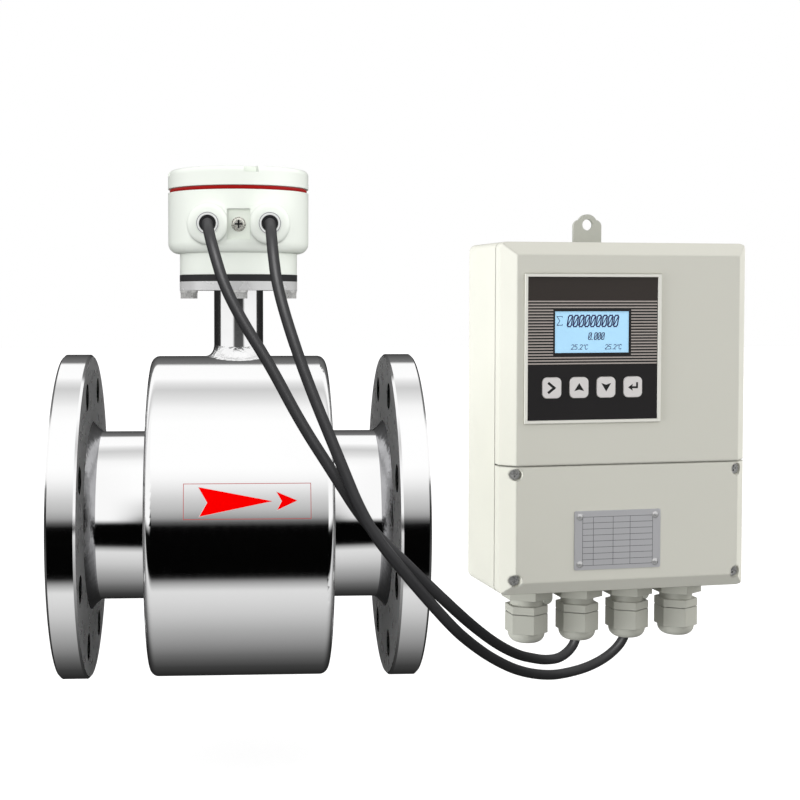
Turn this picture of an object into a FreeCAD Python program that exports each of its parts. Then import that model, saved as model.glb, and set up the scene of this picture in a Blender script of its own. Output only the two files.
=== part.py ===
"""Electromagnetic flow meter, remote version: a flanged stainless sensor with a round
junction head, and a wall-mounted transmitter box joined to it by two cables.

Millimetres. The origin is the middle of the flow bore: +X runs along the pipe to the
outlet, -Y faces the reader and +Z points up to the junction head. The transmitter has a
frame of its own: x along its front from the left edge, y into the box from its front
face, and z up from its bottom face.
"""
import FreeCAD, Part
import math
import os

import Sketcher
from FreeCAD import Placement, Rotation, Vector

# Driving sizes. Every other size and place is worked out from these.
SIZES = {
    # Flow tube, flanges and drum
    "bore_diameter": 100.0,
    "liner_wall": 3.55,
    "pipe_wall": 3.6,
    "lip_inset": 4.0,
    "lip_thickness": 2.0,
    "liner_corner_radius": 1.6,
    "rim_span": 238.0,
    "flange_diameter": 220.0,
    "flange_thickness": 19.0,
    "flange_edge_chamfer": 1.5,
    "raised_face_inset": 31.0,
    "raised_face_height": 2.0,
    "bolt_circle_inset": 20.0,
    "bolt_hole_diameter": 18.0,
    "bolt_hole_count": 8.0,
    "weld_leg": 6.8,
    "drum_diameter": 218.0,
    "drum_length": 119.0,
    "drum_wall": 2.5,
    "drum_corner_radius": 5.5,
    # Magnet circuit and electrodes inside the drum
    "shoe_thickness": 4.0,
    "shoe_length": 62.0,
    "shoe_half_angle": 42.0,
    "core_diameter": 28.0,
    "coil_diameter": 70.0,
    "coil_top_gap": 11.0,
    "coil_lift": 1.0,
    "yoke_gap": 8.0,
    "yoke_wall": 3.0,
    "yoke_width": 40.0,
    "electrode_head_diameter": 10.0,
    "electrode_stem_diameter": 5.0,
    "electrode_length": 30.0,
    "insulator_diameter": 12.0,
    "insulator_flange_diameter": 18.0,
    "insulator_flange_thickness": 3.0,
    "electrode_boss_diameter": 22.0,
    "electrode_boss_height": 5.0,
    # Neck
    "neck_diameter": 33.7,
    "neck_wall": 3.2,
    "neck_weld_leg": 6.0,
    "neck_weld_height": 8.0,
    "neck_plate_diameter": 80.6,
    "neck_plate_thickness": 6.0,
    "neck_plate_base": 154.0,
    "neck_gasket_thickness": 4.5,
    "neck_bolt_circle": 68.0,
    "neck_bolt_diameter": 6.0,
    "neck_bolt_head_width": 10.0,
    "neck_bolt_head_height": 4.0,
    "neck_washer_diameter": 12.0,
    "neck_washer_thickness": 1.5,
    "neck_bolt_reach": 17.0,
    "neck_bolt_clearance": 0.3,
    "lead_loom_diameter": 9.0,
    # Junction head
    "head_foot_diameter": 80.2,
    "head_foot_height": 14.5,
    "head_diameter": 96.0,
    "head_body_height": 41.0,
    "head_shoulder_radius": 7.0,
    "head_wall": 5.0,
    "head_floor": 6.0,
    "head_foot_wall": 12.0,
    "head_thread_depth": 11.0,
    "head_thread_gap": 0.4,
    "head_thread_wall": 5.6,
    "lead_hole_diameter": 24.0,
    "entry_spacing": 40.3,
    "entry_height": 18.1,
    "entry_boss_diameter": 27.0,
    "entry_boss_front": 56.5,
    "entry_boss_radius": 4.5,
    "entry_boss_blend": 2.5,
    "entry_sleeve_diameter": 15.0,
    "entry_sleeve_bore": 11.0,
    "entry_sleeve_length": 13.0,
    "entry_sleeve_proud": 1.2,
    "entry_seal_recess": 3.0,
    "entry_seal_length": 9.0,
    "entry_recess_width": 15.0,
    "entry_recess_height": 20.0,
    "entry_recess_front": 44.6,
    "earth_washer_diameter": 9.5,
    "earth_washer_thickness": 1.0,
    "earth_screw_head_diameter": 8.0,
    "earth_screw_head_height": 3.2,
    "earth_screw_diameter": 4.0,
    "earth_screw_length": 4.0,
    "earth_slot_length": 5.4,
    "earth_slot_width": 1.3,
    "earth_slot_depth": 1.6,
    "lid_gap": 2.8,
    "lid_height": 12.6,
    "lid_edge_radius": 3.5,
    "lid_roof": 4.5,
    "lid_plug_length": 9.0,
    "lid_plug_wall": 4.5,
    "lid_notch_width": 9.4,
    "lid_notch_depth": 4.2,
    "lid_notch_reach": 7.0,
    "lid_notch_angle": 10.0,
    "lid_notch_count": 4.0,
    "seal_section_diameter": 2.6,
    "seal_inset": 1.1,
    "terminal_block_length": 46.0,
    "terminal_block_width": 18.0,
    "terminal_block_height": 15.0,
    "terminal_count": 5.0,
    "terminal_screw_diameter": 5.0,
    "terminal_screw_height": 1.6,
    # Transmitter box
    "box_left": 184.7,
    "box_front": 0.0,
    "box_bottom": -61.5,
    "box_yaw": 9.0,
    "box_width": 188.5,
    "box_height": 250.0,
    "box_depth": 80.0,
    "box_wall": 3.5,
    "box_corner_radius": 5.0,
    "bevel_width": 9.5,
    "bevel_depth": 10.0,
    "cover_depth": 18.5,
    "cover_wall": 3.2,
    "cover_gasket_thickness": 1.0,
    "cover_gasket_width": 2.6,
    "cover_gasket_inset": 0.6,
    "split_height": 92.2,
    "split_gap": 1.0,
    "partition_thickness": 3.0,
    "cover_screw_inset": 10.0,
    "cover_screw_low": 11.4,
    "cover_screw_high": 86.4,
    "cover_screw_post_diameter": 12.0,
    "cover_screw_post_length": 26.0,
    "cover_screw_sink_diameter": 8.6,
    "cover_screw_sink_depth": 9.0,
    "cover_screw_head_diameter": 7.6,
    "cover_screw_head_height": 3.6,
    "cover_screw_diameter": 4.0,
    "cover_screw_length": 22.0,
    "screw_fit_gap": 0.1,
    # Display panel on the upper cover
    "bezel_left": 14.8,
    "bezel_top": 22.7,
    "bezel_width": 102.7,
    "bezel_height": 105.0,
    "bezel_border": 2.0,
    "bezel_proud": 1.4,
    "panel_seat_depth": 1.6,
    "overlay_thickness": 1.2,
    "panel_fit_gap": 0.1,
    "lcd_left": 22.8,
    "lcd_top": 26.3,
    "lcd_width": 56.1,
    "lcd_height": 29.3,
    "lcd_module_margin": 3.5,
    "key_left": 13.5,
    "key_top": 72.8,
    "key_width": 13.9,
    "key_height": 14.5,
    "key_radius": 3.4,
    "key_pitch": 20.4,
    "key_gap": 0.35,
    "key_proud": 0.8,
    "key_flange_margin": 1.2,
    "key_flange_thickness": 1.0,
    "key_travel": 0.6,
    "key_rest_gap": 0.15,
    "board_thickness": 1.6,
    "board_standoff": 6.5,
    "board_post_diameter": 6.0,
    "board_post_inset": 5.0,
    "board_margin": 3.0,
    "switch_width": 6.0,
    # Electronics in the rear housing
    "main_board_width": 150.0,
    "main_board_height": 128.0,
    "main_board_post_height": 8.0,
    "power_module_width": 48.0,
    "power_module_height": 38.0,
    "power_module_depth": 24.0,
    "strip_length": 120.0,
    "strip_height": 22.0,
    "strip_depth": 18.0,
    "strip_way_count": 12.0,
    "strip_way_pitch": 9.4,
    "strip_way_width": 5.0,
    # Nameplate
    "nameplate_left": 52.7,
    "nameplate_bottom": 17.6,
    "nameplate_width": 65.7,
    "nameplate_height": 42.0,
    "nameplate_thickness": 0.8,
    "rivet_inset": 4.1,
    "rivet_diameter": 5.0,
    "rivet_height": 1.5,
    # Wall lugs
    "lug_width": 22.6,
    "lug_thickness": 3.0,
    "lug_reach": 24.4,
    "lug_shoulder": 20.2,
    "lug_shoulder_radius": 5.0,
    "lug_hole_diameter": 8.5,
    "lug_hole_reach": 16.4,
    "lug_tail": 22.0,
    "top_lug_centre": 95.8,
    "bottom_lug_centre": 98.0,
    "bottom_lug_spacing": 80.0,
    "bottom_lug_drop": 4.5,
    # Cable glands
    "gland_depth": 40.0,
    "gland_pitch": 39.6,
    "gland_row_shift": -2.25,
    "gland_thread_diameter": 24.0,
    "gland_bore": 15.0,
    "gland_thread_inside": 9.0,
    "gland_lock_width": 32.0,
    "gland_lock_thickness": 8.8,
    "gland_neck_length": 5.1,
    "gland_hex_width": 27.2,
    "gland_hex_thickness": 5.6,
    "gland_cap_gap": 0.6,
    "gland_cap_straight": 13.8,
    "gland_cap_dome": 7.5,
    "gland_mouth_diameter": 14.0,
    "gland_spigot_diameter": 19.0,
    "gland_spigot_length": 10.5,
    "gland_seal_length": 12.0,
    # Cables
    "cable_diameter": 7.0,
    "cable_entry_depth": 7.0,
    "cable_entry_run": 20.0,
    "cable_gland_depth": 15.3,
    "cable_gland_run": 9.0,
    "signal_turn_radius": 24.0,
    "signal_turn_heading": 33.0,
    "excitation_turn_radius": 30.0,
    "excitation_turn_heading": 22.0,
}

# Free parts of the two cables' routes, from the junction head to the transmitter's glands.
SIGNAL_ROUTE = [
    (-18.8, -88.6, 190.4),
    (-14.7, -100.7, 175.0),
    (-9.0, -106.5, 156.2),
    (2.5, -110.5, 133.7),
    (18.8, -114.0, 108.1),
    (36.9, -118.0, 73.6),
    (56.7, -121.5, 42.8),
    (76.6, -123.5, 11.3),
    (102.4, -122.0, -14.1),
    (130.4, -108.0, -42.1),
    (152.4, -72.0, -64.9),
    (174.7, -34.0, -85.8),
    (195.5, 0.0, -101.7),
    (207.7, 16.8, -109.4),
    (219.0, 29.9, -116.0),
]
EXCITATION_ROUTE = [
    (20.1, -88.6, 190.5),
    (21.1, -101.5, 175.1),
    (23.3, -109.0, 156.2),
    (30.5, -116.5, 129.6),
    (42.5, -122.5, 94.8),
    (58.2, -128.0, 56.3),
    (75.8, -132.5, 12.7),
    (101.6, -130.0, -19.8),
    (130.3, -113.0, -53.7),
    (146.8, -86.0, -71.1),
    (167.1, -54.0, -89.8),
    (192.6, -18.0, -108.5),
    (220.1, 14.0, -120.9),
    (239.8, 33.5, -123.7),
    (253.6, 42.4, -123.0),
]

HEX_CORNER = 1 / math.sqrt(3)
TURN_RUNS = 4
WELD_RUNS = 4
KEY_NAMES = ["next_key", "up_key", "down_key", "enter_key"]

doc = FreeCAD.newDocument("flow_meter")


# ---------------------------------------------------------------- sheet and expressions


class Size:
    """A number together with the sheet expression that gives it."""

    def __init__(self, value, text=""):
        self.value = float(value)
        self.text = text or f"({self.value:.9f})"

    def joined(self, sign, other, value):
        return Size(value, f"({self.text} {sign} {other.text})")

    def __add__(self, other):
        other = as_size(other)
        return self.joined("+", other, self.value + other.value)

    def __sub__(self, other):
        other = as_size(other)
        return self.joined("-", other, self.value - other.value)

    def __mul__(self, other):
        other = as_size(other)
        return self.joined("*", other, self.value * other.value)

    def __truediv__(self, other):
        other = as_size(other)
        return self.joined("/", other, self.value / other.value)

    def __neg__(self):
        return as_size(0) - self

    def __radd__(self, other):
        return as_size(other) + self

    def __rsub__(self, other):
        return as_size(other) - self

    def __rmul__(self, other):
        return as_size(other) * self


def as_size(number):
    """The number as a Size, whether or not it is one already."""
    return number if isinstance(number, Size) else Size(number)


def write_sheet():
    """Put the driving sizes in a sheet: name, plain number and alias on each row."""
    sheet = doc.addObject("Spreadsheet::Sheet", "sizes")
    for row, (name, number) in enumerate(SIZES.items(), start=1):
        sheet.set(f"A{row}", name)
        sheet.set(f"B{row}", str(number))
        sheet.setAlias(f"B{row}", name)
    doc.recompute()
    return sheet


SHEET = write_sheet()


def size(name):
    """One driving size, with its expression."""
    return Size(float(SHEET.get(name)), f"sizes.{name}")


def bind(thing, prop, number):
    """Set a property and, where it comes from the sheet, tie it to its expression."""
    number = as_size(number)
    setattr(thing, prop, number.value)
    if "sizes." in number.text:
        thing.setExpression(prop, number.text)


def bind_place(thing, x, y, z, rotation=None):
    """Place an object, with its base point tied to the sheet."""
    x, y, z = as_size(x), as_size(y), as_size(z)
    thing.Placement = Placement(Vector(x.value, y.value, z.value), rotation or Rotation())
    for axis, number in (("x", x), ("y", y), ("z", z)):
        if "sizes." in number.text:
            thing.setExpression(f"Placement.Base.{axis}", number.text)


# ---------------------------------------------------------------- PartDesign helpers


def new_body(label):
    """A body whose label is also its file's name."""
    made = doc.addObject("PartDesign::Body", label)
    made.Label = label
    return made


def new_sketch(owner, role, offset=0):
    """A sketch on one of the body's own origin planes, moved along its normal."""
    sketch = owner.newObject("Sketcher::SketchObject", "sketch")
    plane = next(p for p in owner.Origin.OriginFeatures if p.Role == role)
    sketch.AttachmentSupport = [(plane, "")]
    sketch.MapMode = "FlatFace"
    offset = as_size(offset)
    sketch.AttachmentOffset = Placement(Vector(0, 0, offset.value), Rotation())
    if "sizes." in offset.text:
        sketch.setExpression("AttachmentOffset.Base.z", offset.text)
    return sketch


def hold(sketch, kind, number, *where):
    """Add one dimension and tie it to its expression."""
    number = as_size(number)
    index = sketch.addConstraint(Sketcher.Constraint(kind, *where, number.value))
    if "sizes." in number.text:
        sketch.setExpression(f"Constraints[{index}]", number.text)


def draw_outline(sketch, points):
    """A closed straight-sided outline with each corner held from the sketch's origin."""
    first = sketch.GeometryCount
    corners = [Vector(as_size(x).value, as_size(y).value, 0) for x, y in points]
    count = len(corners)
    for i in range(count):
        sketch.addGeometry(Part.LineSegment(corners[i], corners[(i + 1) % count]))
    for i in range(count):
        after = first + (i + 1) % count
        sketch.addConstraint(Sketcher.Constraint("Coincident", first + i, 2, after, 1))
    for i, (x, y) in enumerate(points):
        hold(sketch, "DistanceX", x, -1, 1, first + i, 1)
        hold(sketch, "DistanceY", y, -1, 1, first + i, 1)


def draw_circle(sketch, x, y, radius):
    """A circle held by its centre and radius."""
    x, y, radius = as_size(x), as_size(y), as_size(radius)
    ring = Part.Circle(Vector(x.value, y.value, 0), Vector(0, 0, 1), radius.value)
    index = sketch.addGeometry(ring)
    hold(sketch, "DistanceX", x, -1, 1, index, 3)
    hold(sketch, "DistanceY", y, -1, 1, index, 3)
    hold(sketch, "Radius", radius, index)


def rectangle(left, low, width, height):
    """Corners of an upright rectangle."""
    right = left + width
    top = low + height
    return [(left, low), (right, low), (right, top), (left, top)]


def pad(owner, role, start, length, *outlines, circles=()):
    """Add a prism from start to start + length along the plane's normal."""
    sketch = new_sketch(owner, role, start)
    fill(sketch, outlines, circles)
    feature = owner.newObject("PartDesign::Pad", "pad")
    feature.Profile = sketch
    bind(feature, "Length", length)
    return feature


def pocket(owner, role, start, length, *outlines, circles=()):
    """Cut a prism from start to start + length along the plane's normal."""
    sketch = new_sketch(owner, role, start + length)
    fill(sketch, outlines, circles)
    feature = owner.newObject("PartDesign::Pocket", "pocket")
    feature.Profile = sketch
    bind(feature, "Length", length)
    return feature


def fill(sketch, outlines, circles):
    """Draw all the outlines and circles of a sketch."""
    for points in outlines:
        draw_outline(sketch, points)
    for x, y, radius in circles:
        draw_circle(sketch, x, y, radius)


def turn(owner, points, cut=False):
    """Revolve a half section in the XZ plane about the Z axis, to add or to cut."""
    sketch = new_sketch(owner, "XZ_Plane")
    draw_outline(sketch, points)
    kind = "PartDesign::Groove" if cut else "PartDesign::Revolution"
    feature = owner.newObject(kind, "groove" if cut else "revolution")
    feature.Profile = sketch
    feature.ReferenceAxis = (sketch, ["V_Axis"])
    feature.Angle = 360
    return feature


def round_edges(owner, radius, test):
    """Round the edges of the body so far that pass the test."""
    doc.recompute()
    base = owner.Tip
    names = [f"Edge{i + 1}" for i, edge in enumerate(base.Shape.Edges) if test(edge)]
    feature = owner.newObject("PartDesign::Fillet", "fillet")
    feature.Base = (base, names)
    bind(feature, "Radius", radius)
    return feature


def repeat_around_z(owner, features, count):
    """Repeat features around the Z axis and make the pattern the body's last step."""
    pattern = owner.newObject("PartDesign::PolarPattern", "pattern")
    pattern.Originals = features
    z_axis = next(a for a in owner.Origin.OriginFeatures if a.Role == "Z_Axis")
    pattern.Axis = (z_axis, [""])
    pattern.Angle = 360
    pattern.Occurrences = int(round(as_size(count).value))
    pattern.setExpression("Occurrences", as_size(count).text)
    owner.Tip = pattern
    return pattern


def is_along(edge, direction):
    """Whether an edge is a straight line along the direction."""
    if edge.Curve.TypeId != "Part::GeomLine":
        return False
    return abs(abs(edge.Curve.Direction.dot(direction)) - 1) < 1e-6


def is_ring(edge, radius, height):
    """Whether an edge is a circle about the Z axis with this radius and height."""
    if edge.Curve.TypeId != "Part::GeomCircle":
        return False
    centre = edge.Curve.Center
    near_axis = math.hypot(centre.x, centre.y) < 1e-4
    same_radius = abs(edge.Curve.Radius - radius.value) < 1e-4
    return near_axis and same_radius and abs(centre.z - height.value) < 1e-4


# ---------------------------------------------------------------- Part helpers


def group(label, solids, place=None):
    """Separate solids of one kind kept under one label."""
    feature = doc.addObject("Part::Feature", label)
    feature.Label = label
    feature.Shape = Part.makeCompound(solids)
    feature.Placement = place or Placement()
    return feature


def cylinder(label, radius, height):
    """A Part cylinder tied to the sheet, standing on the XY plane."""
    made = doc.addObject("Part::Cylinder", label)
    bind(made, "Radius", radius)
    bind(made, "Height", height)
    return made


# ---------------------------------------------------------------- shared places

PIPE_INNER = size("bore_diameter") / 2 + size("liner_wall")
PIPE_OUTER = PIPE_INNER + size("pipe_wall")
RIM_FACE = size("rim_span") / 2
STEEL_FACE = RIM_FACE + size("raised_face_height")
LIP_FACE = STEEL_FACE + size("lip_thickness")
RIM_BACK = RIM_FACE - size("flange_thickness")
RIM_RADIUS = size("flange_diameter") / 2
RAISED_RADIUS = RIM_RADIUS - size("raised_face_inset")
BOLT_CIRCLE_RADIUS = RIM_RADIUS - size("bolt_circle_inset")
DRUM_RADIUS = size("drum_diameter") / 2
DRUM_INNER = DRUM_RADIUS - size("drum_wall")
DRUM_END = size("drum_length") / 2
YOKE_OUTER = DRUM_INNER - size("yoke_gap")
YOKE_INNER = YOKE_OUTER - size("yoke_wall")
NECK_INNER = size("neck_diameter") / 2 - size("neck_wall")
NECK_TOP = size("neck_plate_base")
PLATE_TOP = NECK_TOP + size("neck_plate_thickness")
HEAD_BASE = PLATE_TOP + size("neck_gasket_thickness")
HEAD_SHOULDER = HEAD_BASE + size("head_foot_height")
HEAD_TOP = HEAD_SHOULDER + size("head_body_height")
HEAD_RADIUS = size("head_diameter") / 2
ENTRY_HEIGHT = HEAD_SHOULDER + size("entry_height")
THREAD_RADIUS = HEAD_RADIUS - size("head_thread_wall")
LID_BASE = HEAD_TOP + size("lid_gap")
LID_TOP = LID_BASE + size("lid_height")
BOX_PLACE = Placement(
    Vector(size("box_left").value, size("box_front").value, size("box_bottom").value),
    Rotation(Vector(0, 0, 1), size("box_yaw").value),
)
UPPER_BASE = size("split_height") + size("split_gap") / 2
LOWER_TOP = size("split_height") - size("split_gap") / 2
HOUSING_FRONT = size("cover_depth") + size("cover_gasket_thickness")
BEZEL_LOW = size("box_height") - size("bezel_top") - size("bezel_height")
PANEL_TOP = size("box_height") - size("bezel_top")
LCD_LEFT = size("bezel_left") + size("lcd_left")
LCD_LOW = PANEL_TOP - size("lcd_top") - size("lcd_height")
KEY_LOW = PANEL_TOP - size("key_top") - size("key_height")
OVERLAY_FRONT = size("panel_seat_depth") - size("overlay_thickness")
BOARD_FACE = size("cover_wall") + size("board_standoff")
GLAND_STEPS = [-1.5, -0.5, 0.5, 1.5]
X, Y, Z = Vector(1, 0, 0), Vector(0, 1, 0), Vector(0, 0, 1)
ALONG_PIPE = Placement(Vector(), Rotation(Vector(1, 1, 1), 120))


def key_left(index):
    """Left edge of one key, in the transmitter's frame."""
    return size("bezel_left") + size("key_left") + size("key_pitch") * index


def gland_x(step):
    """Middle of one gland along the transmitter's bottom."""
    middle = size("box_width") / 2 + size("gland_row_shift")
    return middle + size("gland_pitch") * step


def in_box(thing):
    """Put an object drawn in the transmitter's frame where the transmitter hangs."""
    turn_about_z = Rotation(Z, size("box_yaw").value)
    bind_place(thing, size("box_left"), size("box_front"), size("box_bottom"), turn_about_z)
    return thing


def front_pad(owner, depth, length, *outlines, circles=()):
    """Add material from depth to depth + length behind the transmitter's front."""
    return pad(owner, "XZ_Plane", -(depth + length), length, *outlines, circles=circles)


def front_cut(owner, depth, length, *outlines, circles=()):
    """Cut material from depth to depth + length behind the transmitter's front."""
    return pocket(owner, "XZ_Plane", -(depth + length), length, *outlines, circles=circles)


# ---------------------------------------------------------------- flow tube


def make_flange(label, side):
    """A slip-on pipe flange with a raised face and a circle of bolt holes."""
    flange = new_body(label)
    step = size("raised_face_height")
    chamfer = size("flange_edge_chamfer")
    back = step + size("flange_thickness")
    section = [
        (PIPE_OUTER, as_size(0)),
        (RAISED_RADIUS, as_size(0)),
        (RAISED_RADIUS, step),
        (RIM_RADIUS - chamfer, step),
        (RIM_RADIUS, step + chamfer),
        (RIM_RADIUS, back - chamfer),
        (RIM_RADIUS - chamfer, back),
        (PIPE_OUTER, back),
    ]
    turn(flange, section)
    angle = math.pi / size("bolt_hole_count").value
    x = BOLT_CIRCLE_RADIUS * math.cos(angle)
    y = BOLT_CIRCLE_RADIUS * math.sin(angle)
    circles = [(x, y, size("bolt_hole_diameter") / 2)]
    hole = pocket(flange, "XY_Plane", as_size(0), back, circles=circles)
    repeat_around_z(flange, [hole], size("bolt_hole_count"))
    bind_place(flange, STEEL_FACE * side, 0, 0, Rotation(Y, -90 * side))
    return flange


def make_measuring_tube():
    """The stainless pipe with its weld fillets, and a boss on each side for an electrode."""
    tube = new_body("measuring_tube")
    leg = size("weld_leg")
    section = [
        (PIPE_INNER, -STEEL_FACE),
        (PIPE_OUTER, -STEEL_FACE),
        (PIPE_OUTER, -RIM_BACK),
        (PIPE_OUTER + leg, -RIM_BACK),
        (PIPE_OUTER, leg - RIM_BACK),
        (PIPE_OUTER, RIM_BACK - leg),
        (PIPE_OUTER + leg, RIM_BACK),
        (PIPE_OUTER, RIM_BACK),
        (PIPE_OUTER, STEEL_FACE),
        (PIPE_INNER, STEEL_FACE),
    ]
    turn(tube, section)
    reach = PIPE_OUTER + size("electrode_boss_height")
    boss = [(0, 0, size("electrode_boss_diameter") / 2)]
    pad(tube, "YZ_Plane", -reach, reach * 2, circles=boss)
    pocket(tube, "XY_Plane", -STEEL_FACE, STEEL_FACE * 2, circles=[(0, 0, PIPE_INNER)])
    hole = [(0, 0, size("insulator_diameter") / 2)]
    pocket(tube, "YZ_Plane", -reach, reach * 2, circles=hole)
    tube.Placement = ALONG_PIPE
    return tube


def make_tube_liner():
    """The insulating tube inside the pipe, rounded at both mouths."""
    liner = new_body("tube_liner")
    inner = size("bore_diameter") / 2
    corner = size("liner_corner_radius")
    section = [
        (inner, corner - LIP_FACE),
        (inner + corner, -LIP_FACE),
        (PIPE_INNER, -LIP_FACE),
        (PIPE_INNER, LIP_FACE),
        (inner + corner, LIP_FACE),
        (inner, LIP_FACE - corner),
    ]
    turn(liner, section)
    hole = [(0, 0, size("electrode_head_diameter") / 2)]
    pocket(liner, "YZ_Plane", -PIPE_OUTER, PIPE_OUTER * 2, circles=hole)
    liner.Placement = ALONG_PIPE
    return liner


def make_liner_lip(label, side):
    """The liner's sealing lip, turned out over one raised face."""
    lip = new_body(label)
    rings = [(0, 0, RAISED_RADIUS - size("lip_inset")), (0, 0, PIPE_INNER)]
    pad(lip, "YZ_Plane", as_size(0), size("lip_thickness"), circles=rings)
    start = STEEL_FACE if side > 0 else -LIP_FACE
    bind_place(lip, start, 0, 0)
    return lip


def make_drum_shell():
    """The rolled stainless jacket, with a hole on top where the neck stands."""
    shell = new_body("drum_shell")
    half = DRUM_END - size("drum_corner_radius")
    rings = [(0, 0, DRUM_RADIUS), (0, 0, DRUM_INNER)]
    pad(shell, "YZ_Plane", -half, half * 2, circles=rings)
    pocket(shell, "XY_Plane", as_size(0), DRUM_RADIUS * 1.2, circles=[(0, 0, NECK_INNER)])
    return shell


def make_end_plate(label, side):
    """A dished annular plate that closes one end of the drum."""
    plate = new_body(label)
    wall = size("drum_wall")
    radius = size("drum_corner_radius")
    section = [
        (PIPE_OUTER, as_size(0)),
        (DRUM_RADIUS, as_size(0)),
        (DRUM_RADIUS, radius),
        (DRUM_INNER, radius),
        (DRUM_INNER, wall),
        (PIPE_OUTER, wall),
    ]
    turn(plate, section)
    round_edges(plate, radius - 0.01, lambda edge: is_ring(edge, DRUM_RADIUS, as_size(0)))
    round_edges(plate, radius - wall - 0.01, lambda edge: is_ring(edge, DRUM_INNER, wall))
    bind_place(plate, DRUM_END * side, 0, 0, Rotation(Y, -90 * side))
    return plate


# ---------------------------------------------------------------- magnet and electrodes


def make_pole(label, side):
    """A pole shoe curved to the pipe, with its round core reaching to the yoke."""
    outer = (PIPE_OUTER + size("shoe_thickness")).value
    length = size("shoe_length").value
    tilt = size("shoe_half_angle").value
    ring = Part.makeCylinder(outer, length, Vector(-length / 2, 0, 0), X, 2 * tilt)
    core = Part.makeCylinder(size("core_diameter").value / 2, YOKE_INNER.value + 1)
    inside = Part.makeCylinder(YOKE_INNER.value, length, Vector(-length / 2, 0, 0), X)
    pipe = Part.makeCylinder(PIPE_OUTER.value, length, Vector(-length / 2, 0, 0), X)
    ring.rotate(Vector(), X, upright_turn(ring))
    pole = core.fuse(ring).common(inside).cut(pipe).removeSplitter()
    if side < 0:
        pole.rotate(Vector(), X, 180)
    return group(label, pole.Solids)


def upright_turn(sector):
    """The turn about X that stands a sector's middle upright."""
    centre = sector.CenterOfMass
    return 90 - math.degrees(math.atan2(centre.z, centre.y))


def make_coil(label, side):
    """A round excitation coil on its pole core."""
    coil = new_body(label)
    base = PIPE_OUTER + size("shoe_thickness") + size("coil_lift")
    rings = [(0, 0, size("coil_diameter") / 2), (0, 0, size("core_diameter") / 2)]
    height = YOKE_INNER - size("coil_top_gap") - base
    pad(coil, "XY_Plane", base, height, circles=rings)
    coil.Placement = Placement(Vector(), Rotation(X, 90 - 90 * side))
    return coil


def make_magnet_yoke():
    """The steel band that returns the flux around the pipe between the two cores."""
    yoke = new_body("magnet_yoke")
    width = size("yoke_width")
    pad(
        yoke,
        "YZ_Plane",
        -width / 2,
        width,
        circles=[(0, 0, YOKE_OUTER), (0, 0, YOKE_INNER)],
    )
    return yoke


def make_electrode(label, side):
    """A measuring electrode: a head flush with the liner and a stem through the wall."""
    electrode = new_body(label)
    inner = size("bore_diameter") / 2
    head = size("electrode_head_diameter") / 2
    stem = size("electrode_stem_diameter") / 2
    end = inner + size("electrode_length")
    section = [
        (as_size(0), inner),
        (head, inner),
        (head, PIPE_INNER),
        (stem, PIPE_INNER),
        (stem, end),
        (as_size(0), end),
    ]
    turn(electrode, section)
    electrode.Placement = Placement(Vector(), Rotation(X, -90 * side))
    return electrode


def make_electrode_insulators():
    """A flanged sleeve around each electrode stem."""
    stem = size("electrode_stem_diameter").value / 2
    outer = size("insulator_diameter").value / 2
    flange = size("insulator_flange_diameter").value / 2
    seat = (PIPE_OUTER + size("electrode_boss_height")).value
    top = seat + size("insulator_flange_thickness").value
    solids = []
    for side in (-1, 1):
        direction = Vector(0, side, 0)
        sleeve = Part.makeCylinder(outer, top - PIPE_INNER.value, direction * PIPE_INNER.value, direction)
        collar = Part.makeCylinder(flange, top - seat, direction * seat, direction)
        hole = Part.makeCylinder(stem, top, Vector(), direction)
        solids.append(sleeve.fuse(collar).cut(hole).removeSplitter().Solids[0])
    return group("electrode_insulators", solids)


# ---------------------------------------------------------------- neck


def make_neck_tube():
    """The short pipe that carries the head, welded on the drum and saddled to it."""
    neck = new_body("neck_tube")
    outer = size("neck_diameter") / 2
    leg = size("neck_weld_leg")
    section = [
        (NECK_INNER, DRUM_INNER),
        (outer + leg, DRUM_INNER),
        (outer + leg, DRUM_RADIUS),
        *weld_curve(outer, leg),
        (outer, NECK_TOP),
        (NECK_INNER, NECK_TOP),
    ]
    turn(neck, section)
    reach = outer * 4
    pocket(neck, "YZ_Plane", -reach / 2, reach, circles=[(0, 0, DRUM_RADIUS)])
    return neck


def weld_curve(outer, leg):
    """The hollow outline of the neck's weld, from its foot up to the neck."""
    height = size("neck_weld_height")
    points = []
    for run in range(1, WELD_RUNS + 1):
        turned = math.radians(90 * run / WELD_RUNS)
        inward = leg * (1 - math.sin(turned))
        points.append((outer + inward, DRUM_RADIUS + height * (1 - math.cos(turned))))
    return points


def make_neck_plate():
    """The round plate on the neck that the junction head bolts to."""
    plate = new_body("neck_plate")
    thickness = size("neck_plate_thickness")
    rings = [(0, 0, size("neck_plate_diameter") / 2), (0, 0, NECK_INNER)]
    pad(plate, "XY_Plane", NECK_TOP, thickness, circles=rings)
    hole = neck_bolt_hole(plate, NECK_TOP, thickness)
    repeat_around_z(plate, [hole], 4)
    return plate


def neck_bolt_hole(owner, start, length):
    """One clearance hole of the neck's bolt circle."""
    radius = size("neck_bolt_diameter") / 2 + size("neck_bolt_clearance")
    circles = [(size("neck_bolt_circle") / 2, 0, radius)]
    return pocket(owner, "XY_Plane", start, length, circles=circles)


def make_neck_gasket():
    """The black gasket between the neck plate and the head."""
    gasket = new_body("neck_gasket")
    thickness = size("neck_gasket_thickness")
    rings = [(0, 0, size("neck_plate_diameter") / 2), (0, 0, NECK_INNER)]
    pad(gasket, "XY_Plane", PLATE_TOP, thickness, circles=rings)
    hole = neck_bolt_hole(gasket, PLATE_TOP, thickness)
    repeat_around_z(gasket, [hole], 4)
    return gasket


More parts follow.
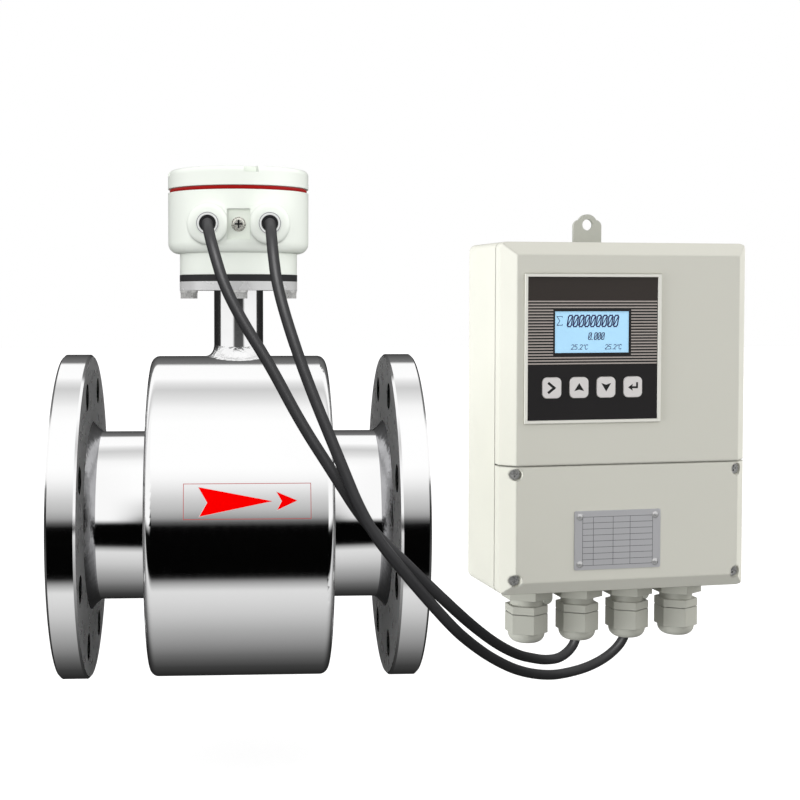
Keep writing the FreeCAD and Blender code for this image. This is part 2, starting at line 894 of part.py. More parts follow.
def hex_prism(width, height, base, first_corner=0):
    """A hexagonal prism of the given width across flats, standing at base."""
    corner = width * HEX_CORNER
    points = []
    for i in range(7):
        angle = math.radians(first_corner + 60 * i)
        points.append(base + Vector(corner * math.cos(angle), corner * math.sin(angle), 0))
    return Part.Face(Part.makePolygon(points)).extrude(Vector(0, 0, height))


def make_neck_bolts():
    """Four hexagon bolts with washers, entering the head from below."""
    head_height = size("neck_bolt_head_height").value
    washer = size("neck_washer_thickness").value
    seat = NECK_TOP.value
    solids = []
    for quarter in range(4):
        angle = math.radians(90 * quarter)
        circle = size("neck_bolt_circle").value / 2
        foot = Vector(circle * math.cos(angle), circle * math.sin(angle), seat - washer)
        head = hex_prism(size("neck_bolt_head_width").value, -head_height, foot)
        ring = Part.makeCylinder(size("neck_washer_diameter").value / 2, washer, foot)
        shank = Part.makeCylinder(
            size("neck_bolt_diameter").value / 2,
            size("neck_bolt_reach").value + washer,
            foot,
        )
        solids.append(head.fuse([ring, shank]).removeSplitter().Solids[0])
    return group("neck_bolts", solids)


def make_lead_loom():
    """The sheathed leads from the coils and electrodes up to the terminals."""
    loom = cylinder("lead_loom", size("lead_loom_diameter") / 2, loom_top() - YOKE_OUTER)
    loom.Label = "lead_loom"
    bind_place(loom, 0, 0, YOKE_OUTER)
    return loom


def loom_top():
    """Underside of the terminal block, where the leads end."""
    return HEAD_BASE + size("head_floor")


# ---------------------------------------------------------------- junction head


def make_head_body():
    """The cast head: foot, round body, two cable bosses and the earthing recess."""
    head = new_body("head_body")
    foot = size("head_foot_diameter") / 2
    section = [
        (as_size(0), HEAD_BASE),
        (foot, HEAD_BASE),
        (foot, HEAD_SHOULDER),
        (HEAD_RADIUS, HEAD_SHOULDER),
        (HEAD_RADIUS, HEAD_TOP),
        (as_size(0), HEAD_TOP),
    ]
    turn(head, section)
    round_edges(
        head,
        size("head_shoulder_radius"),
        lambda edge: is_ring(edge, HEAD_RADIUS, HEAD_SHOULDER),
    )
    entries = [-size("entry_spacing") / 2, size("entry_spacing") / 2]
    boss = size("entry_boss_diameter") / 2
    front = size("entry_boss_front")
    pad(
        head,
        "XZ_Plane",
        as_size(0),
        front,
        circles=[(x, ENTRY_HEIGHT, boss) for x in entries],
    )
    round_edges(
        head,
        size("entry_boss_radius"),
        lambda edge: is_boss_front(edge, boss.value, front.value),
    )
    round_edges(
        head,
        size("entry_boss_blend"),
        lambda edge: is_boss_foot(edge, HEAD_RADIUS.value, ENTRY_HEIGHT.value, boss.value),
    )
    hollow_head(head)
    drill_head(head, entries)
    return head


def is_boss_foot(edge, body_radius, height, boss):
    """Whether an edge is where a cable boss meets the round body."""
    if edge.Curve.TypeId in ("Part::GeomCircle", "Part::GeomLine"):
        return False
    box = edge.BoundBox
    in_front = box.YMax < -body_radius / 2
    return in_front and abs(box.Center.z - height) < boss


def is_boss_front(edge, radius, front):
    """Whether an edge is the front rim of a cable boss."""
    if edge.Curve.TypeId != "Part::GeomCircle":
        return False
    on_front = abs(edge.Curve.Center.y + front) < 1e-4
    return on_front and abs(edge.Curve.Radius - radius) < 1e-4


def hollow_head(head):
    """Turn out the wiring space, the threaded mouth and the lead hole in the floor."""
    inner = HEAD_RADIUS - size("head_wall") - size("head_thread_gap") * 4
    foot_inner = size("head_foot_diameter") / 2 - size("head_foot_wall")
    lead = size("lead_hole_diameter") / 2
    floor = HEAD_BASE + size("head_floor")
    step = HEAD_SHOULDER + size("head_wall")
    mouth = HEAD_TOP - size("head_thread_depth")
    section = [
        (as_size(0), HEAD_BASE - 1),
        (lead, HEAD_BASE - 1),
        (lead, floor),
        (foot_inner, floor),
        (foot_inner, step),
        (inner, step),
        (inner, mouth),
        (THREAD_RADIUS, mouth),
        (THREAD_RADIUS, HEAD_TOP + 1),
        (as_size(0), HEAD_TOP + 1),
    ]
    turn(head, section, cut=True)


def drill_head(head, entries):
    """Bore the cable entries, mill the earthing recess and drill the bolt holes."""
    front = size("entry_boss_front")
    seat = size("entry_sleeve_length") - size("entry_sleeve_proud")
    sleeve = size("entry_sleeve_diameter") / 2
    bore = size("entry_sleeve_bore") / 2
    pocket(
        head,
        "XZ_Plane",
        front - seat,
        seat + 1,
        circles=[(x, ENTRY_HEIGHT, sleeve) for x in entries],
    )
    pocket(
        head,
        "XZ_Plane",
        front / 2,
        front / 2,
        circles=[(x, ENTRY_HEIGHT, bore) for x in entries],
    )
    width = size("entry_recess_width")
    height = size("entry_recess_height")
    pocket(
        head,
        "XZ_Plane",
        size("entry_recess_front"),
        front,
        rectangle(-width / 2, ENTRY_HEIGHT - height / 2, width, height),
    )
    screw = size("earth_screw_diameter") / 2
    depth = size("earth_screw_length") - size("earth_washer_thickness")
    pocket(
        head,
        "XZ_Plane",
        size("entry_recess_front") - depth,
        depth + 1,
        circles=[(0, ENTRY_HEIGHT, screw)],
    )
    reach = size("neck_bolt_reach") - (HEAD_BASE - NECK_TOP)
    hole = pocket(
        head,
        "XY_Plane",
        HEAD_BASE - 1,
        reach + 2,
        circles=[(size("neck_bolt_circle") / 2, 0, size("neck_bolt_diameter") / 2)],
    )
    repeat_around_z(head, [hole], 4)


def make_entry_sleeves():
    """A white sleeve in each cable entry of the head."""
    solids = []
    for side in (-1, 1):
        x = side * size("entry_spacing").value / 2
        front = size("entry_boss_front").value + size("entry_sleeve_proud").value
        start = Vector(x, -front, ENTRY_HEIGHT.value)
        length = size("entry_sleeve_length").value
        outer = Part.makeCylinder(size("entry_sleeve_diameter").value / 2, length, start, Y)
        inner = Part.makeCylinder(size("entry_sleeve_bore").value / 2, length, start, Y)
        solids.append(outer.cut(inner))
    return group("entry_sleeves", solids)


def make_entry_seals():
    """A rubber seal inside each sleeve, gripping the cable."""
    solids = []
    for side in (-1, 1):
        x = side * size("entry_spacing").value / 2
        front = size("entry_boss_front").value - size("entry_seal_recess").value
        start = Vector(x, -front, ENTRY_HEIGHT.value)
        length = size("entry_seal_length").value
        outer = Part.makeCylinder(size("entry_sleeve_bore").value / 2, length, start, Y)
        inner = Part.makeCylinder(size("cable_diameter").value / 2, length, start, Y)
        solids.append(outer.cut(inner))
    return group("entry_seals", solids)


def make_earth_screw():
    """The earthing screw between the cable bosses."""
    screw = new_body("earth_screw")
    seat = size("entry_recess_front") + size("earth_washer_thickness")
    head = size("earth_screw_head_height")
    pad(
        screw,
        "XZ_Plane",
        seat,
        head,
        circles=[(0, ENTRY_HEIGHT, size("earth_screw_head_diameter") / 2)],
    )
    length = size("earth_screw_length")
    pad(
        screw,
        "XZ_Plane",
        seat - length,
        length,
        circles=[(0, ENTRY_HEIGHT, size("earth_screw_diameter") / 2)],
    )
    round_edges(
        screw,
        head * 0.4,
        lambda edge: is_boss_front(
            edge, size("earth_screw_head_diameter").value / 2, (seat + head).value
        ),
    )
    long, wide = size("earth_slot_length"), size("earth_slot_width")
    for width, height in ((long, wide), (wide, long)):
        pocket(
            screw,
            "XZ_Plane",
            seat + head - size("earth_slot_depth"),
            size("earth_slot_depth") * 2,
            rectangle(-width / 2, ENTRY_HEIGHT - height / 2, width, height),
        )
    return screw


def make_earth_washer():
    """The washer under the earthing screw."""
    washer = new_body("earth_washer")
    pad(
        washer,
        "XZ_Plane",
        size("entry_recess_front"),
        size("earth_washer_thickness"),
        circles=[
            (0, ENTRY_HEIGHT, size("earth_washer_diameter") / 2),
            (0, ENTRY_HEIGHT, size("earth_screw_diameter") / 2),
        ],
    )
    return washer


def make_head_lid():
    """The screwed lid, with a hollow plug and spanner notches in its rim."""
    lid = new_body("head_lid")
    plug = THREAD_RADIUS - size("head_thread_gap")
    hollow = plug - size("lid_plug_wall")
    roof = LID_TOP - size("lid_roof")
    foot = LID_BASE - size("lid_gap") - size("lid_plug_length")
    section = [
        (as_size(0), roof),
        (hollow, roof),
        (hollow, foot),
        (plug, foot),
        (plug, LID_BASE),
        (HEAD_RADIUS, LID_BASE),
        (HEAD_RADIUS, LID_TOP),
        (as_size(0), LID_TOP),
    ]
    turn(lid, section)
    round_edges(
        lid, size("lid_edge_radius"), lambda edge: is_ring(edge, HEAD_RADIUS, LID_TOP)
    )
    notch = pocket(
        lid,
        "XY_Plane",
        LID_TOP - size("lid_notch_depth"),
        size("lid_notch_depth") + 1,
        rectangle(
            -size("lid_notch_width") / 2,
            -HEAD_RADIUS * 1.2,
            size("lid_notch_width"),
            HEAD_RADIUS * 0.2 + size("lid_notch_reach"),
        ),
    )
    repeat_around_z(lid, [notch], size("lid_notch_count"))
    lid.Placement = Placement(Vector(), Rotation(Z, size("lid_notch_angle").value))
    lid.setExpression("Placement.Rotation.Angle", "sizes.lid_notch_angle")
    return lid


def make_lid_seal():
    """The red O-ring between the head and its lid."""
    ring = doc.addObject("Part::Torus", "lid_seal")
    ring.Label = "lid_seal"
    section = size("seal_section_diameter") / 2
    bind(ring, "Radius1", HEAD_RADIUS - size("seal_inset") - section)
    bind(ring, "Radius2", section)
    bind_place(ring, 0, 0, HEAD_TOP + size("lid_gap") / 2)
    return ring


def make_head_terminal_block():
    """The terminal block on the floor of the head, with a wire hole at each way."""
    terminals = new_body("head_terminal_block")
    length = size("terminal_block_length")
    width = size("terminal_block_width")
    height = size("terminal_block_height")
    base = HEAD_BASE + size("head_floor")
    pad(terminals, "XY_Plane", base, height, rectangle(-length / 2, -width / 2, length, width))
    step = size("terminal_block_height") / 2
    pocket(
        terminals,
        "XY_Plane",
        base + step,
        step + 1,
        rectangle(-length, -width, length * 2, width),
    )
    radius = size("terminal_screw_diameter") * 0.32
    holes = [(x, base + step * 0.5, radius) for x in terminal_places()]
    pocket(terminals, "XZ_Plane", width / 4, width / 4 + 1, circles=holes)
    return terminals


def terminal_places():
    """Middles of the ways of the head's terminal block."""
    count = int(round(size("terminal_count").value))
    pitch = size("terminal_block_length") / size("terminal_count")
    return [pitch * (i - (count - 1) / 2) for i in range(count)]


def make_head_terminal_screws():
    """A clamping screw on the lower step of each way."""
    base = loom_top().value + size("terminal_block_height").value / 2
    radius = size("terminal_screw_diameter").value / 2
    height = size("terminal_screw_height").value
    y = -size("terminal_block_width").value / 4
    solids = []
    for place in terminal_places():
        screw = Part.makeCylinder(radius, height, Vector(place.value, y, base))
        slot_low = Vector(place.value - radius, y - radius / 6, base + height / 2)
        slot = Part.makeBox(radius * 2, radius / 3, height, slot_low)
        solids.append(screw.cut(slot))
    return group("head_terminal_screws", solids)


# ---------------------------------------------------------------- transmitter housing


def screw_places():
    """The four screws of the terminal cover, in the transmitter's front view."""
    left = size("cover_screw_inset")
    right = size("box_width") - size("cover_screw_inset")
    low = size("cover_screw_low")
    high = size("cover_screw_high")
    return [(left, low), (right, low), (left, high), (right, high)]


def make_rear_housing():
    """The deep rear shell: two compartments, screw posts and four gland holes."""
    housing = new_body("rear_housing")
    width, tall = size("box_width"), size("box_height")
    depth = size("box_depth") - HOUSING_FRONT
    wall = size("box_wall")
    front_pad(housing, HOUSING_FRONT, depth, rectangle(as_size(0), as_size(0), width, tall))
    round_edges(housing, size("box_corner_radius"), lambda edge: is_along(edge, Y))
    back = size("box_depth").value
    round_edges(housing, size("box_corner_radius") * 0.8, lambda edge: is_rear(edge, back))
    partition = size("partition_thickness") / 2
    lower = size("split_height") - partition - wall
    upper_low = size("split_height") + partition
    front_cut(
        housing,
        HOUSING_FRONT,
        depth - wall,
        rectangle(wall, wall, width - wall * 2, lower),
        rectangle(wall, upper_low, width - wall * 2, tall - wall - upper_low),
    )
    post = size("cover_screw_post_diameter") / 2
    length = size("cover_screw_post_length")
    front_pad(
        housing, HOUSING_FRONT, length, circles=[(x, z, post) for x, z in screw_places()]
    )
    hole = size("cover_screw_diameter") / 2 + size("screw_fit_gap")
    front_cut(
        housing,
        HOUSING_FRONT,
        length - 2,
        circles=[(x, z, hole) for x, z in screw_places()],
    )
    post_low = size("box_depth") - wall - size("main_board_post_height")
    front_pad(
        housing,
        post_low,
        size("main_board_post_height") + wall / 2,
        circles=[(x, z, size("board_post_diameter") / 2) for x, z in main_board_corners()],
    )
    pocket(
        housing,
        "XY_Plane",
        as_size(-1),
        wall + 2,
        circles=[
            (gland_x(step), size("gland_depth"), size("gland_thread_diameter") / 2)
            for step in GLAND_STEPS
        ],
    )
    return in_box(housing)


def is_rear(edge, back):
    """Whether an edge lies wholly on the rear face."""
    box = edge.BoundBox
    return abs(box.YMin - back) < 1e-4 and abs(box.YMax - back) < 1e-4


def make_cover(label, low, high, bevel_low, bevel_high):
    """A moulded front cover, bevelled along its outer edges and hollow behind."""
    cover = new_body(label)
    width = size("box_width")
    depth = size("cover_depth")
    bevel = size("bevel_width")
    slope = size("bevel_depth")
    front_pad(cover, as_size(0), depth, rectangle(as_size(0), low, width, high - low))
    round_z = high if bevel_high else low
    round_edges(
        cover,
        size("box_corner_radius"),
        lambda edge: is_along(edge, Y) and abs(edge.BoundBox.ZMin - round_z.value) < 1e-4,
    )
    reach = size("box_height") + 2
    pocket(
        cover,
        "XY_Plane",
        as_size(-1),
        reach,
        [(as_size(-1), as_size(-1)), (bevel, as_size(-1)), (bevel, as_size(0)),
         (as_size(0), slope), (as_size(-1), slope)],
        [(width + 1, as_size(-1)), (width + 1, slope), (width, slope),
         (width - bevel, as_size(0)), (width - bevel, as_size(-1))],
    )
    edge_z = high if bevel_high else low
    inward = -1 if bevel_high else 1
    pocket(
        cover,
        "YZ_Plane",
        as_size(-1),
        width + 2,
        [(as_size(-1), edge_z - inward), (as_size(-1), edge_z + bevel * inward),
         (as_size(0), edge_z + bevel * inward), (slope, edge_z), (slope, edge_z - inward)],
    )
    wall = size("cover_wall")
    deep = slope + wall * 0.7
    far_low = low + (bevel + wall if bevel_low else wall)
    far_high = high - (bevel + wall if bevel_high else wall)
    front_cut(
        cover,
        wall,
        depth - wall,
        rectangle(bevel + wall, far_low, width - (bevel + wall) * 2, far_high - far_low),
    )
    front_cut(
        cover,
        deep,
        depth - deep,
        rectangle(wall, low + wall, width - wall * 2, high - low - wall * 2),
    )
    return cover


def make_display_cover():
    """The upper cover, with the seat for the display panel and its openings."""
    cover = make_cover("display_cover", UPPER_BASE, size("box_height"), False, True)
    gap = size("panel_fit_gap")
    front_cut(
        cover,
        as_size(-1),
        size("panel_seat_depth") + 1,
        rectangle(
            size("bezel_left") - gap,
            BEZEL_LOW - gap,
            size("bezel_width") + gap * 2,
            size("bezel_height") + gap * 2,
        ),
    )
    wall = size("cover_wall")
    openings = [rectangle(LCD_LEFT, LCD_LOW, size("lcd_width"), size("lcd_height"))]
    slack = size("key_gap")
    for index in range(len(KEY_NAMES)):
        openings.append(
            rectangle(
                key_left(index) - slack,
                KEY_LOW - slack,
                size("key_width") + slack * 2,
                size("key_height") + slack * 2,
            )
        )
    front_cut(cover, as_size(0), wall + 1, *openings)
    front_pad(
        cover,
        wall - 1,
        size("board_standoff") + 1,
        circles=[(x, z, size("board_post_diameter") / 2) for x, z in board_corners()],
    )
    return in_box(cover)


def board_corners():
    """Post places at the corners of the display board."""
    inset = size("board_post_inset")
    left = size("bezel_left") + inset
    right = size("bezel_left") + size("bezel_width") - inset
    low = BEZEL_LOW + inset
    high = PANEL_TOP - inset
    return [(left, low), (right, low), (left, high), (right, high)]


def make_terminal_cover():
    """The lower cover, with sunk screw holes at its corners."""
    cover = make_cover("terminal_cover", as_size(0), LOWER_TOP, True, False)
    places = screw_places()
    depth = size("cover_depth")
    start = size("cover_wall") + size("bevel_depth") * 0.3
    post = size("cover_screw_post_diameter") / 2
    front_pad(cover, start, depth - start, circles=[(x, z, post) for x, z in places])
    trim_cover_posts(cover)
    sink = size("cover_screw_sink_diameter") / 2
    front_cut(
        cover,
        as_size(-1),
        size("cover_screw_sink_depth") + 1,
        circles=[(x, z, sink) for x, z in places],
    )
    hole = size("cover_screw_diameter") / 2 + size("screw_fit_gap") * 3
    front_cut(cover, as_size(0), depth + 1, circles=[(x, z, hole) for x, z in places])
    return in_box(cover)


def trim_cover_posts(cover):
    """Keep the upper posts below the split between the two covers."""
    width = size("box_width")
    front_cut(
        cover,
        as_size(-1),
        size("cover_depth") + 2,
        rectangle(as_size(-1), LOWER_TOP, width + 2, size("cover_screw_post_diameter")),
    )


def make_cover_gasket():
    """The flat gasket between both covers and the rear housing."""
    gasket = new_body("cover_gasket")
    inset = size("cover_gasket_inset")
    band = size("cover_gasket_width")
    width, tall = size("box_width"), size("box_height")
    inner = inset + band
    front_pad(
        gasket,
        size("cover_depth"),
        size("cover_gasket_thickness"),
        rectangle(inset, inset, width - inset * 2, tall - inset * 2),
        rectangle(inner, inner, width - inner * 2, size("split_height") - band / 2 - inner),
        rectangle(
            inner,
            size("split_height") + band / 2,
            width - inner * 2,
            tall - inner - size("split_height") - band / 2,
        ),
    )
    round_edges(
        gasket,
        size("box_corner_radius"),
        lambda edge: is_along(edge, Y) and is_outer_corner(edge, inset.value),
    )
    return in_box(gasket)


def is_outer_corner(edge, inset):
    """Whether an edge stands at an outer corner of the gasket."""
    box = edge.BoundBox
    at_side = min(abs(box.XMin - inset), abs(box.XMin - size("box_width").value + inset))
    at_end = min(abs(box.ZMin - inset), abs(box.ZMin - size("box_height").value + inset))
    return at_side < 1e-4 and at_end < 1e-4


def make_cover_screws():
    """The four cross-head screws of the terminal cover."""
    head_radius = size("cover_screw_head_diameter").value / 2
    head_height = size("cover_screw_head_height").value
    seat = size("cover_screw_sink_depth").value
    radius = size("cover_screw_diameter").value / 2
    solids = []
    for x, z in screw_places():
        head_front = Vector(x.value, seat - head_height, z.value)
        head = Part.makeCylinder(head_radius, head_height, head_front, Y)
        start = Vector(x.value, seat, z.value)
        shank = Part.makeCylinder(radius, size("cover_screw_length").value, start, Y)
        solids.append(head.fuse(shank).cut(cross_slot(head_front, head_radius)).removeSplitter())
    return group("cover_screws", [solid.Solids[0] for solid in solids], BOX_PLACE)


def cross_slot(front, head_radius):
    """The cross recess of a screw head that faces the front."""
    arm = head_radius * 0.62
    thin = head_radius * 0.16
    deep = head_radius * 0.5
    level = Part.makeBox(arm * 2, deep, thin * 2, front + Vector(-arm, 0, -thin))
    upright = Part.makeBox(thin * 2, deep, arm * 2, front + Vector(-thin, 0, -arm))
    return level.fuse(upright)


# ---------------------------------------------------------------- display panel


def make_display_bezel():
    """The raised light frame around the panel."""
    bezel = new_body("display_bezel")
    border = size("bezel_border")
    proud = size("bezel_proud")
    front_pad(
        bezel,
        -proud,
        proud + size("panel_seat_depth"),
        rectangle(size("bezel_left"), BEZEL_LOW, size("bezel_width"), size("bezel_height")),
        rectangle(
            size("bezel_left") + border,
            BEZEL_LOW + border,
            size("bezel_width") - border * 2,
            size("bezel_height") - border * 2,
        ),
    )
    return in_box(bezel)


def make_panel_overlay():
    """The dark front plate, with the display window and the four key holes."""
    overlay = new_body("panel_overlay")
    edge = size("bezel_border") + size("panel_fit_gap")
    thickness = size("overlay_thickness")
    front_pad(
        overlay,
        OVERLAY_FRONT,
        thickness,
        rectangle(
            size("bezel_left") + edge,
            BEZEL_LOW + edge,
            size("bezel_width") - edge * 2,
            size("bezel_height") - edge * 2,
        ),
    )
    slack = size("key_gap")
    holes = [rectangle(LCD_LEFT, LCD_LOW, size("lcd_width"), size("lcd_height"))]
    front_cut(overlay, OVERLAY_FRONT - 1, thickness + 2, *holes)
    for index in range(len(KEY_NAMES)):
        front_cut(
            overlay,
            OVERLAY_FRONT - 1,
            thickness + 2,
            rectangle(
                key_left(index) - slack,
                KEY_LOW - slack,
                size("key_width") + slack * 2,
                size("key_height") + slack * 2,
            ),
        )
    low = (KEY_LOW - slack * 2).value
    high = (KEY_LOW + size("key_height") + slack * 2).value
    round_edges(
        overlay,
        size("key_radius") + slack,
        lambda edge: is_along(edge, Y) and low < edge.BoundBox.ZMin < high,
    )
    return in_box(overlay)


def make_lcd_window():
    """The clear window set flush in the overlay."""
    window = new_body("lcd_window")
    gap = size("panel_fit_gap")
    front_pad(
        window,
        OVERLAY_FRONT,
        size("overlay_thickness"),
        rectangle(
            LCD_LEFT + gap,
            LCD_LOW + gap,
            size("lcd_width") - gap * 2,
            size("lcd_height") - gap * 2,
        ),
    )
    return in_box(window)


def make_lcd_module():
    """The display module behind the window, standing on the display board."""
    module = new_body("lcd_module")
    margin = size("lcd_module_margin")
    face = size("cover_wall") + size("panel_fit_gap")
    front_pad(
        module,
        face,
        BOARD_FACE - face,
        rectangle(
            LCD_LEFT - margin,
            LCD_LOW - margin,
            size("lcd_width") + margin * 2,
            size("lcd_height") + margin * 2,
        ),
    )
    return in_box(module)


def make_key(label, index):
    """A push key: a rounded cap through the overlay, with a retaining flange behind."""
    key = new_body(label)
    left = key_left(index)
    width, tall = size("key_width"), size("key_height")
    front = OVERLAY_FRONT - size("key_proud")
    flange = size("cover_wall") + size("key_rest_gap")
    front_pad(key, front, flange - front, rectangle(left, KEY_LOW, width, tall))
    round_edges(key, size("key_radius"), lambda edge: is_along(edge, Y))
    margin = size("key_flange_margin")
    front_pad(
        key,
        flange,
        size("key_flange_thickness"),
        rectangle(left - margin, KEY_LOW - margin, width + margin * 2, tall + margin * 2),
    )
    return in_box(key)


def make_display_board():
    """The circuit board behind the display and keys, on the cover's posts."""
    board = new_body("display_board")
    margin = size("board_margin") / 2
    front_pad(
        board,
        BOARD_FACE,
        size("board_thickness"),
        rectangle(
            size("bezel_left") + margin,
            BEZEL_LOW + margin,
            size("bezel_width") - margin * 2,
            size("bezel_height") - margin * 2,
        ),
    )
    return in_box(board)


def make_key_switches():
    """A switch on the display board behind each key, with its round plunger."""
    width = size("switch_width").value
    board = BOARD_FACE.value
    front = key_back().value + size("key_travel").value + 0.1
    body_front = front + 1
    solids = []
    for index in range(len(KEY_NAMES)):
        x = (key_left(index) + size("key_width") / 2).value
        z = (KEY_LOW + size("key_height") / 2).value
        corner = Vector(x - width / 2, body_front, z - width / 2)
        base = Part.makeBox(width, board - body_front, width, corner)
        plunger = Part.makeCylinder(width * 0.28, body_front - front, Vector(x, front, z), Y)
        solids.append(base.fuse(plunger).Solids[0])
    return group("key_switches", solids, BOX_PLACE)


def key_back():
    """Rear face of a key's flange at rest."""
    return size("cover_wall") + size("key_rest_gap") + size("key_flange_thickness")


# ---------------------------------------------------------------- electronics


def main_board_frame():
    """Left and low edges of the main board."""
    middle = (UPPER_BASE + size("box_height") - size("box_wall")) / 2
    left = (size("box_width") - size("main_board_width")) / 2
    return left, middle - size("main_board_height") / 2


def main_board_corners():
    """Post places at the corners of the main board."""
    left, low = main_board_frame()
    inset = size("board_post_inset")
    right = left + size("main_board_width") - inset
    high = low + size("main_board_height") - inset
    return [
        (left + inset, low + inset),
        (right, low + inset),
        (left + inset, high),
        (right, high),
    ]


def main_board_front():
    """Front face of the main board."""
    posts = size("box_wall") + size("main_board_post_height")
    return size("box_depth") - posts - size("board_thickness")


def make_main_board():
    """The main circuit board on the posts of the upper compartment."""
    board = new_body("main_board")
    left, low = main_board_frame()
    front_pad(
        board,
        main_board_front(),
        size("board_thickness"),
        rectangle(left, low, size("main_board_width"), size("main_board_height")),
    )
    return in_box(board)


def make_power_module():
    """The potted power module on the main board."""
    module = new_body("power_module")
    left, low = main_board_frame()
    deep = size("power_module_depth")
    front_pad(
        module,
        main_board_front() - deep,
        deep,
        rectangle(
            left + size("board_post_inset") * 3,
            low + size("board_post_inset") * 3,
            size("power_module_width"),
            size("power_module_height"),
        ),
    )
    return in_box(module)


def make_terminal_strip():
    """The row of terminals on the back of the lower compartment."""
    strip = new_body("terminal_strip")
    left = (size("box_width") - size("strip_length")) / 2
    low = (size("split_height") - size("strip_height")) / 2 + size("box_wall")
    deep = size("strip_depth")
    front = size("box_depth") - size("box_wall") - deep
    front_pad(strip, front, deep, rectangle(left, low, size("strip_length"), size("strip_height")))
    pitch = size("strip_way_pitch")
    way = size("strip_way_width")
    count = int(round(size("strip_way_count").value))
    start = size("box_width") / 2 - pitch * ((count - 1) / 2)
    ways = []
    for i in range(count):
        ways.append(
            rectangle(
                start + pitch * i - way / 2,
                low + size("strip_height") * 0.25,
                way,
                size("strip_height") * 0.5,
            )
        )
    front_cut(strip, front - 1, deep * 0.35 + 1, *ways)
    return in_box(strip)


# ---------------------------------------------------------------- nameplate and lugs


def make_nameplate():
    """The plain metal plate on the terminal cover."""
    plate = new_body("nameplate")
    thickness = size("nameplate_thickness")
    front_pad(
        plate,
        -thickness,
        thickness,
        rectangle(
            size("nameplate_left"),
            size("nameplate_bottom"),
            size("nameplate_width"),
            size("nameplate_height"),
        ),
    )
    round_edges(plate, thickness * 1.5, lambda edge: is_along(edge, Y))
    return in_box(plate)


def make_nameplate_rivets():
    """A round-headed rivet at each corner of the nameplate."""
    radius = size("rivet_diameter").value / 2
    height = size("rivet_height").value
    ball = (radius**2 + height**2) / (2 * height)
    face = -size("nameplate_thickness").value
    inset = size("rivet_inset")
    left = size("nameplate_left") + inset
    right = size("nameplate_left") + size("nameplate_width") - inset
    low = size("nameplate_bottom") + inset
    high = size("nameplate_bottom") + size("nameplate_height") - inset
    solids = []
    for x, z in [(left, low), (right, low), (left, high), (right, high)]:
        centre = Vector(x.value, face + ball - height, z.value)
        corner = Vector(x.value - radius * 2, face - height, z.value - radius * 2)
        slab = Part.makeBox(radius * 4, height, radius * 4, corner)
        solids.append(Part.makeSphere(ball, centre).common(slab).Solids[0])
    return group("nameplate_rivets", solids, BOX_PLACE)


def lug_solid(x, edge_z, direction):
    """One wall lug: a flat strap with rounded shoulders, a round nose and a hole."""
    half = size("lug_width").value / 2
    shoulder = size("lug_shoulder").value
    radius = size("lug_shoulder_radius").value
    reach = size("lug_reach").value
    tail = size("lug_tail").value
    hole_reach = size("lug_hole_reach").value
    thickness = size("lug_thickness").value
    back = size("box_depth").value
    side_top = shoulder - radius
    strap = Part.makeBox(half * 2, thickness, tail + side_top, Vector(-half, 0, -tail))
    top_left = Vector(radius - half, 0, side_top)
    inner = Part.makeBox((half - radius) * 2, thickness, radius, top_left)
    pieces = [inner]
    for side in (-1, 1):
        centre = Vector(side * (half - radius), 0, side_top)
        pieces.append(Part.makeCylinder(radius, thickness, centre, Y))
    nose = reach - hole_reach
    pieces.append(Part.makeCylinder(nose, thickness, Vector(0, 0, hole_reach), Y))
    lug = strap.fuse(pieces).removeSplitter()
    hole_centre = Vector(0, -1, hole_reach)
    lug = lug.cut(
        Part.makeCylinder(size("lug_hole_diameter").value / 2, thickness + 2, hole_centre, Y)
    )
    if direction < 0:
        lug.rotate(Vector(), Y, 180)
    lug.translate(Vector(x, back, edge_z))
    return lug.Solids[0]


def make_top_lug():
    """The wall lug above the box."""
    lug = lug_solid(size("top_lug_centre").value, size("box_height").value, 1)
    return group("top_lug", [lug], BOX_PLACE)


def make_bottom_lugs():
    """The two wall lugs below the box, between the outer pairs of glands."""
    half = size("bottom_lug_spacing").value / 2
    middle = size("bottom_lug_centre").value
    edge = -size("bottom_lug_drop").value
    lugs = [lug_solid(middle + side * half, edge, -1) for side in (-1, 1)]
    return group("bottom_lugs", lugs, BOX_PLACE)


# ---------------------------------------------------------------- cable glands


def gland_levels():
    """Heights of the gland's steps below the box, from the top down."""
    lock = -size("gland_lock_thickness")
    neck = lock - size("gland_neck_length")
    hexagon_low = neck - size("gland_hex_thickness")
    cap_top = hexagon_low - size("gland_cap_gap")
    cap_low = cap_top - size("gland_cap_straight")
    mouth = cap_low - size("gland_cap_dome")
    return [level.value for level in (lock, neck, hexagon_low, cap_top, cap_low, mouth)]


def gland_group(label, make_one):
    """One piece of every gland, kept as a group of four solids."""
    solids = []
    for step in GLAND_STEPS:
        axis = Vector(gland_x(step).value, size("gland_depth").value, 0)
        solids.append(make_one(axis))
    return group(label, solids, BOX_PLACE)


def tube_between(radius, axis, low, high):
    """A cylinder between two heights on a gland's axis."""
    return Part.makeCylinder(radius, high - low, axis + Vector(0, 0, low))


def gland_hexagon(width, axis, low, high):
    """A hexagon of a gland, one corner to the front."""
    return hex_prism(width.value, high - low, axis + Vector(0, 0, low), 30)


def gland_body(axis):
    """The gland's body: thread through the wall, hexagon and clamping spigot."""
    lock, neck, hexagon_low, cap_top, cap_low, mouth = gland_levels()
    thread = tube_between(
        size("gland_thread_diameter").value / 2, axis, neck, size("gland_thread_inside").value
    )
    prism = gland_hexagon(size("gland_hex_width"), axis, hexagon_low, neck)
    spigot = tube_between(
        size("gland_spigot_diameter").value / 2,
        axis,
        hexagon_low - size("gland_spigot_length").value,
        hexagon_low,
    )
    top = size("gland_thread_inside").value + 1
    hole = tube_between(size("gland_bore").value / 2, axis, mouth, top)
    return thread.fuse([prism, spigot]).cut(hole).removeSplitter().Solids[0]


